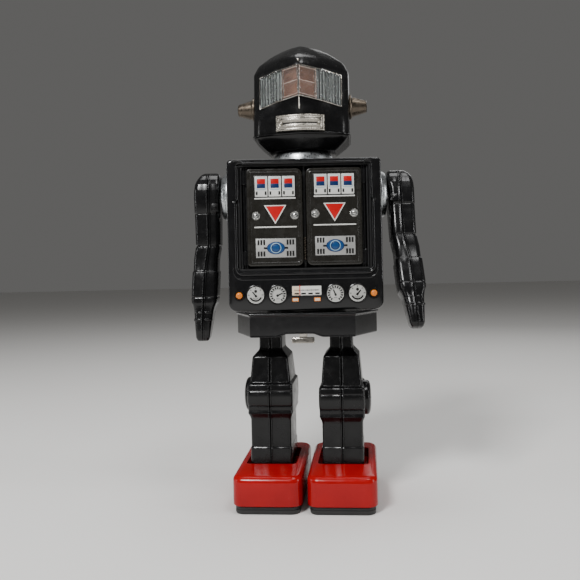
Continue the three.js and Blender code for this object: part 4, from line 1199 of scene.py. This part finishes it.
# Height, half width and half depth.
LEG_ROWS = (
    (23, 13.2, 18.6), (34.4, 13.2, 18.6), (35.1, 12.8, 18.1), (50.8, 12.9, 17.9), (52.4, 13.2, 18.3),
    (54.2, 13.9, 19.4), (55.2, 14.3, 20.2), (57.2, 14.2, 19.4), (59.2, 14.3, 19.9), (59.8, 14.3, 19.6),
    (60.4, 14.4, 20.3), (62.5, 14.5, 20.9), (66.0, 14.5, 21.1), (69.0, 14.5, 20.9), (69.5, 14.4, 20.5),
    (70.0, 14.5, 20.8), (72.8, 14.4, 20.2), (73.6, 14.3, 19.9), (74.2, 13.6, 18.9), (74.8, 13.0, 18.1),
    (84, 12.2, 17.2), (91.2, 11.5, 16.5), (92.2, 11.2, 16.2), (96.2, 7.7, 12.5), (97.4, 7.4, 12.1),
    (105.6, 7.25, 11.9))

ARM_CORNER = 3.2
FOREARM_ROWS = (
    (-92.8, 2.8, 2.2, -11.0), (-92.3, 3.6, 3.8, -10.9), (-90.5, 4.4, 5.8, -10.5), (-86, 4.9, 7.2, -9.7),
    (-80, 5.5, 8.2, -8.6), (-74, 6.1, 8.5, -7.4), (-71.5, 6.7, 8.8, -6.9), (-69.8, 7.3, 9.2, -6.5),
    (-68.4, 7.9, 9.7, -6.25), (-65.4, 8.25, 10.1, -5.8), (-64.7, 8.0, 9.8, -5.7), (-64.0, 8.25, 10.1, -5.5),
    (-52, 8.3, 10.2, -3.8), (-48.6, 8.3, 10.2, -3.3), (-47.8, 7.7, 9.5, -3.1), (-40, 7.6, 9.6, -2.0),
    (-32.8, 7.6, 10.0, -1.1), (-32.2, 7.2, 9.5, -1.0))
UPPER_ARM_ROWS = (
    (-31.6, 7.2, 9.5, -0.9), (-31.0, 7.7, 10.2, -0.8), (-22, 7.8, 10.5, -0.4), (-11.6, 7.95, 11.0, 0),
    (-11.0, 7.8, 10.8, 0), (-10.3, 8.0, 11.7, 0), (-4, 8.1, 12.0, 0), (0, 8.2, 12.1, 0), (4, 8.0, 11.9, 0))
OUTER_TOP = (
    (8, 7.6, 11.0, 0), (11, 6.6, 9.3, 0), (13.5, 5.3, 7.0, 0), (15, 4.1, 4.8, 0), (15.9, 2.8, 2.4, 0))
INNER_TOP = (
    (8, 7.9, 11.0, 0), (11, 7.8, 9.3, 0), (13.5, 7.4, 7.0, 0), (15, 6.6, 4.8, 0), (15.9, 5.2, 2.4, 0))
ELBOW = -31.0
WRIST = -47.0


def arm_lean(z):
    """How far the arm's seam has moved outwards at a height, below the elbow."""
    bend = min(max(ELBOW - z, 0.0), ELBOW - WRIST) * 0.16
    return bend + max(WRIST - z, 0.0) * 0.045


def arm_rows(top, fullness, limit):
    """Rows of one half of an arm, fuller or slimmer between the wrist and a limit."""
    rows = FOREARM_ROWS + UPPER_ARM_ROWS + top
    return eased([(z, half * (fullness if WRIST <= z <= limit else 1.0), *rest) for z, half, *rest in rows])


def leg_rows(side):
    """Rows of one leg, with its knee a little above or below the drawn height."""
    rise = KNEE_RISE[side]
    return eased([(z + rise if 50 < z < 80 else z, half, depth, 0) for z, half, depth in LEG_ROWS])


def leg(side, sign):
    boss = [(11.2, 13.0), (11.15, 15.9), (10.9, 16.7), (10.2, 17.4), (8.6, 18.0), (5.6, 18.4), (0.05, 18.6)]
    for name, direction in (("inner", -sign), ("outer", sign)):
        shape = Shape(leg_space(sign))
        limb_half(shape, leg_rows(side), LEG_CORNER, direction)
        if name == "outer":
            shape.turned(boss, on_side(0, sign), "black_plastic", 40, (0, KNEE_Z + KNEE_RISE[side]))
        shape.make(f"leg_half_{name}_{side}", f"leg_{side}", "black_plastic", f"leg_{name}_{side}", angle=30)


def knuckles(shape, sign):
    """Two finger ridges across the front of the hand."""
    for z, y in ((-74.5, -15.6), (-79.0, -16.5)):
        path = [(sign * x, y + bow, z) for x, bow in ((1.3, 0.5), (2.6, 0.4), (4.0, 0.8), (5.1, 2.0))]
        shape.tube(path, 1.1, "black_plastic", 14)


def arm(side, sign):
    halves = (("outer", sign, arm_rows(OUTER_TOP, 1.14, 20)), ("inner", -sign, arm_rows(INNER_TOP, 0.88, 0)))
    for name, direction, rows in halves:
        shape = Shape(arm_space(side, sign))
        limb_half(shape, rows, ARM_CORNER, direction, 0.6)
        knuckles(shape, direction)
        if name == "inner":
            spot = (direction * 4.4, -7.3)
            shape.plaque(moved(slab(2.3, 2.5, 0.6), *spot), on_front(-11.6), 0.7, "black_plastic", 0.2, -0.8)
            shape.plaque(moved(slab(0.9, 1.0, 0.3), *spot), on_front(-12.2), 0.5, "black_plastic")
        shape.points = [(x + sign * arm_lean(z), y, z) for x, y, z in shape.points]
        shape.make(f"arm_half_{name}_{side}", f"arm_{side}", "black_plastic", f"arm_{name}_{side}", angle=30)


def shoulder_disc(side, sign):
    low, high = corners(f"shoulder_disc_{side}")
    width = high.x - low.x
    profile = [(AXLE_HOLE, 0.0), (15.6, 0.0), (16.0, 0.3), (16.0, 1.8), (15.8, 2.2), (15.2, 2.6), (14.9, 3.4),
               (14.2, width - 0.8), (13.7, width - 0.2), (13.0, width), (AXLE_HOLE, width)]
    shape = Shape()
    shape.turned(profile, on_side(TORSO_HALF + 0.3, sign), "silver_paint", 64, (0, SHOULDER.z), closed=True)
    shape.make(f"shoulder_plate_{side}", "torso", "silver_paint", f"shoulder_disc_{side}", angle=35)


# ---- feet

TOE = -42.95
HEEL = 36.95
FOOT_HALF = 21.3
FOOT_CORNER = 7.0
FOOT_EASE = 3.4
ANKLE_HALF = 15.8
ANKLE_DEPTH = 19.9
ANKLE_CORNER = 2.6
ROLLER_SLOT = (6, 8.5)


def foot_top(y):
    """Height of the foot's upper surface, from the toe to the heel."""
    return along(((TOE, 22.4), (-40, 23.0), (-20, 25.0), (10, 25.3), (HEEL, 25.3)), y)


def foot_plan(inset):
    radius = max(FOOT_CORNER - inset, 1.0)
    return rounded(-FOOT_HALF + inset, FOOT_HALF - inset, TOE + inset, HEEL - inset, radius, 10)


def foot(side, sign):
    """Foot cover: side walls, an eased upper edge, and a turned-in collar round the ankle."""
    shape = Shape(leg_space(sign))
    levels = ((2.6, 15.5), (1.9, 5.4), (1.5, 5.0), (0.5, 5.0), (0.1, 5.4), (0.0, 6.2), (0.0, 12.0),
              (0.0, 17.0))
    rings = [level(foot_plan(inset), z) for inset, z in levels]
    for step in range(9):
        angle = math.radians(90 * step / 8)
        drop = FOOT_EASE * (1 - math.sin(angle))
        rings.append([(x, y, foot_top(y) - drop) for x, y in foot_plan(FOOT_EASE * (1 - math.cos(angle)))])
    for grow, rise in ((1.4, 0.0), (0.5, 0.05), (0.15, -0.1), (0.0, -0.45), (0.0, -1.2), (0.0, -6.0)):
        half = ANKLE_HALF + grow
        depth = ANKLE_DEPTH + grow
        ring = rounded(-half, half, -depth, depth, ANKLE_CORNER + grow, 10)
        rings.append([(x, y, foot_top(y) + rise) for x, y in ring])
    shape.rings(rings, "red_plastic")
    shape.make(f"foot_cover_{side}", f"leg_{side}", "red_plastic", f"foot_shell_{side}", angle=30)


def roller_spot(space, end, side):
    """Middle of a foot roller, in a leg's or the hips' own space."""
    return space.inverted() @ (Vector(JOINTS[f"roller_{end}_{side}_spin"]["pos_m"]) / MM)


def sole(side, sign):
    space = leg_space(sign)
    shape = Shape(space)
    rows = ((2.3, 0.0), (1.7, 0.15), (1.4, 0.7), (1.4, 2.6), (1.75, 2.8), (1.75, 3.2), (1.4, 3.4), (1.4, 4.3),
            (1.7, 4.7))
    shape.rings([level(foot_plan(inset), z) for inset, z in rows], "sole_black")
    half, reach = ROLLER_SLOT
    slots = []
    for end in ("front", "rear"):
        y = roller_spot(space, end, side).y
        slots.append(Cutter(space).block(-half, half, y - reach, y + reach, -2, 9))
    shape.make(f"sole_pad_{side}", f"leg_{side}", "sole_black", f"sole_{side}", angle=35, cutters=slots)


# ---- hips

HIP_DEPTH = 32
NOTCH_OFFSET = 1.6


def hip_outline(inset):
    """Six-sided outline of the hips, with extra points along the front for the notch."""
    front = 32.5 - inset * 0.6
    side = 46 - inset * 1.1
    depth = HIP_DEPTH - inset
    hexagon = [(-front, -depth), (front, -depth), (side, 0), (front, depth), (-front, depth), (-side, 0)]
    points = []
    for (xa, ya), (xb, yb) in zip(hexagon, hexagon[1:] + hexagon[:1]):
        count = 24 if ya == yb and ya < 0 else 3
        points += [(xa + (xb - xa) * (k / count), ya + (yb - ya) * (k / count)) for k in range(count)]
    return points


def notch(x, y):
    """Raised part of the lower edge, in the middle of the front."""
    if y > -25:
        return 0.0
    return 2.0 * min(1.0, max(0.0, (14 - abs(x + NOTCH_OFFSET)) / 5.5))


def hips():
    low = HIP_LOW.z
    high = HIP_HIGH.z
    # Inset, height, and how closely the ring follows the notch.
    rows = ((1.3, high - 0.9, 0), (1.3, low + 4.2, 0), (6, low + 3.4, 0), (6, low + 1.9, 0),
            (1.3, low + 1.3, 1), (1.1, low + 0.1, 1), (0.5, low, 1), (0.1, low + 0.3, 1), (0, low + 1, 1),
            (0, low + 6, 0.2), (0, high - 2.2, 0), (-0.5, high - 1.9, 0), (-0.95, high - 1.3, 0),
            (-1.0, high - 0.8, 0), (-0.7, high - 0.2, 0), (-0.1, high, 0), (0.9, high, 0))
    shape = Shape(LOWER)
    rings = [[(x, y, z + notch(x, y) * follow) for x, y in hip_outline(inset)] for inset, z, follow in rows]
    shape.rings(rings, "black_tin", closed=True)
    shape.make("hip_casing", "lower_body", "black_tin", "hip_shell", bevel=0.35, angle=30)
    floor = Shape(LOWER)
    floor.rings([level(hip_outline(1.6), z) for z in (low + 2.9, low + 2.2)], "black_tin")
    through = (low - 5, low + 9)
    slots = [Cutter(LOWER).block(-2.8, 8.8, -27.4, -23.6, *through)]
    for _, sign in SIDES:
        x = sign * roller_spot(LOWER, "rear", "left").x
        slots.append(Cutter(LOWER).block(x - 3.4, x + 3.4, -13.3, 13.3, *through))
        slots.append(Cutter(LOWER).block(*sorted((sign * 12.0, x)), -7, 7, *through))
    floor.make("hip_floor", "lower_body", "black_tin", cutters=slots)
    edge = Shape(LOWER)
    places = [(-32.3 + 64.6 * k / 48, -32.0) for k in range(49)]
    edge.tube([(x, y - 0.05, low + 0.55 + notch(x, y)) for x, y in places], 0.55, "black_tin", 10)
    edge.make("hip_edge", "lower_body", "black_tin")


def power_switch():
    """Tab with its stem up through the hip floor and the plate that holds it."""
    def tab(inset):
        corner = max(0.6 - inset, 0.05)
        return rounded(-7 + inset, 7 - inset, -29.5 + inset, -25.5 - inset, corner, 4)

    shape = Shape(LOWER)
    shape.plaque(tab, on_top(102), 3.5, "nickel", 0.5)
    shape.plaque(lambda _: rounded(-2.4, 2.4, -27.1, -23.9, 0.3, 3), on_top(104), 4.0, "nickel", 0.1)
    shape.plaque(lambda _: rounded(-7, 7, -29, -22, 0.3, 3), on_top(109.4), 1.0, "nickel", 0.1)
    shape.make("switch_tab", "power_switch", "nickel", "power_switch", angle=35)


# ---- carried-over pieces


def both(*names):
    return [f"{name}_{side}" for name in names for side, _ in SIDES]


CARRIED = {
    "grey_plastic": ["battery_box"],
    "tray_black": ["chest_tray"],
    "black_tin": ["hip_lid", "battery_door"] + both("door_pin"),
    "steel": ["battery_door_pin", "crankshaft", "drive_shaft"] + both("leg_hanger", "shoulder_axle"),
    "nickel": ["contact_bridge", "motor_can"] + both("cell_spring"),
    "brass": ["motor_pinion", "crown_gear"],
    "nylon": ["turning_gear", "sun_gear"] + both("roller_front", "roller_rear"),
    "lamp_glass": ["head_lamp"],
    "silver_paint": both("gun"),
    "lamp_red": both("gun_lamp"),
    "cell_jacket": both("cell"),
}


def carry_over():
    for look, nodes in CARRIED.items():
        for node in nodes:
            obj = frame["nodes"][node]
            obj.data.materials.clear()
            obj.data.materials.append(LOOKS[look])


# ---- stage, light and camera

FLOOR_REACH = 6.0
WORLD_STRENGTH = 0.15
LIGHT_AIM = Vector((0, 0, 0.15))
# Place, width, height and power.
LIGHTS = {
    "key": ((-0.45, -0.85, 0.95), 0.3, 0.21, 16),
    "fill": ((0.35, -0.5, 1.3), 0.4, 0.28, 4.5),
    "top": ((0.0, 0.15, 1.3), 0.7, 0.5, 6),
    "back": ((0.4, 0.9, 0.7), 0.6, 0.4, 1.2),
    "strip_right": ((0.85, -0.28, 0.3), 0.06, 0.5, 2.0),
    "strip_left": ((-0.9, -0.12, 0.3), 0.06, 0.5, 1.2),
}


def studio():
    mesh = bpy.data.meshes.new("floor")
    square = [(x * FLOOR_REACH, y * FLOOR_REACH, 0) for x, y in ((-1, -1), (1, -1), (1, 1), (-1, 1))]
    mesh.from_pydata(square, [], [(0, 1, 2, 3)])
    floor = bpy.data.objects.new("floor", mesh)
    bpy.context.scene.collection.objects.link(floor)
    material = bpy.data.materials.new("floor_paper")
    material.use_nodes = True
    paper = material.node_tree.nodes["Principled BSDF"].inputs
    paper["Base Color"].default_value = (0.78, 0.77, 0.75, 1)
    paper["Roughness"].default_value = 0.7
    mesh.materials.append(material)
    world = bpy.data.worlds.new("studio")
    bpy.context.scene.world = world
    world.use_nodes = True
    background = world.node_tree.nodes["Background"].inputs
    background["Color"].default_value = (0.80, 0.79, 0.77, 1)
    background["Strength"].default_value = WORLD_STRENGTH
    for name, values in LIGHTS.items():
        soft_light(name, *values)


def soft_light(name, place, width, height, power):
    light = bpy.data.lights.new(name, "AREA")
    light.shape = "RECTANGLE"
    light.size = width
    light.size_y = height
    light.energy = power
    lamp = bpy.data.objects.new(name, light)
    lamp.location = place
    lamp.rotation_euler = (LIGHT_AIM - Vector(place)).to_track_quat("-Z", "Y").to_euler()
    bpy.context.scene.collection.objects.link(lamp)


CAMERA_DISTANCE = 461 * MM
CAMERA_HEIGHT = 147 * MM
CAMERA_ROLL = -1.2
CAMERA_LENS = 43.4
CAMERA_SHIFT = (-0.027, -0.034)


def camera():
    data = bpy.data.cameras.new("camera")
    data.lens = CAMERA_LENS
    data.sensor_width = 36
    data.shift_x, data.shift_y = CAMERA_SHIFT
    view = bpy.data.objects.new("camera", data)
    turn = Matrix.Rotation(math.radians(90), 4, "X") @ Matrix.Rotation(math.radians(CAMERA_ROLL), 4, "Z")
    view.matrix_world = Matrix.Translation((0, WAIST.y * MM - CAMERA_DISTANCE, CAMERA_HEIGHT)) @ turn
    bpy.context.scene.collection.objects.link(view)
    bpy.context.scene.camera = view


# ---- the robot

camera()
studio()
carry_over()
chest_casing()
chest_trim()
bay_fittings()
dashboard()
head_shell()
head_base()
visor()
visor_frame()
visor_backing()
mouth()
ears()
neck()
hips()
power_switch()
for name, direction in SIDES:
    for build in (chest_door, shoulder_disc, arm, leg, foot, sole):
        build(name, direction)
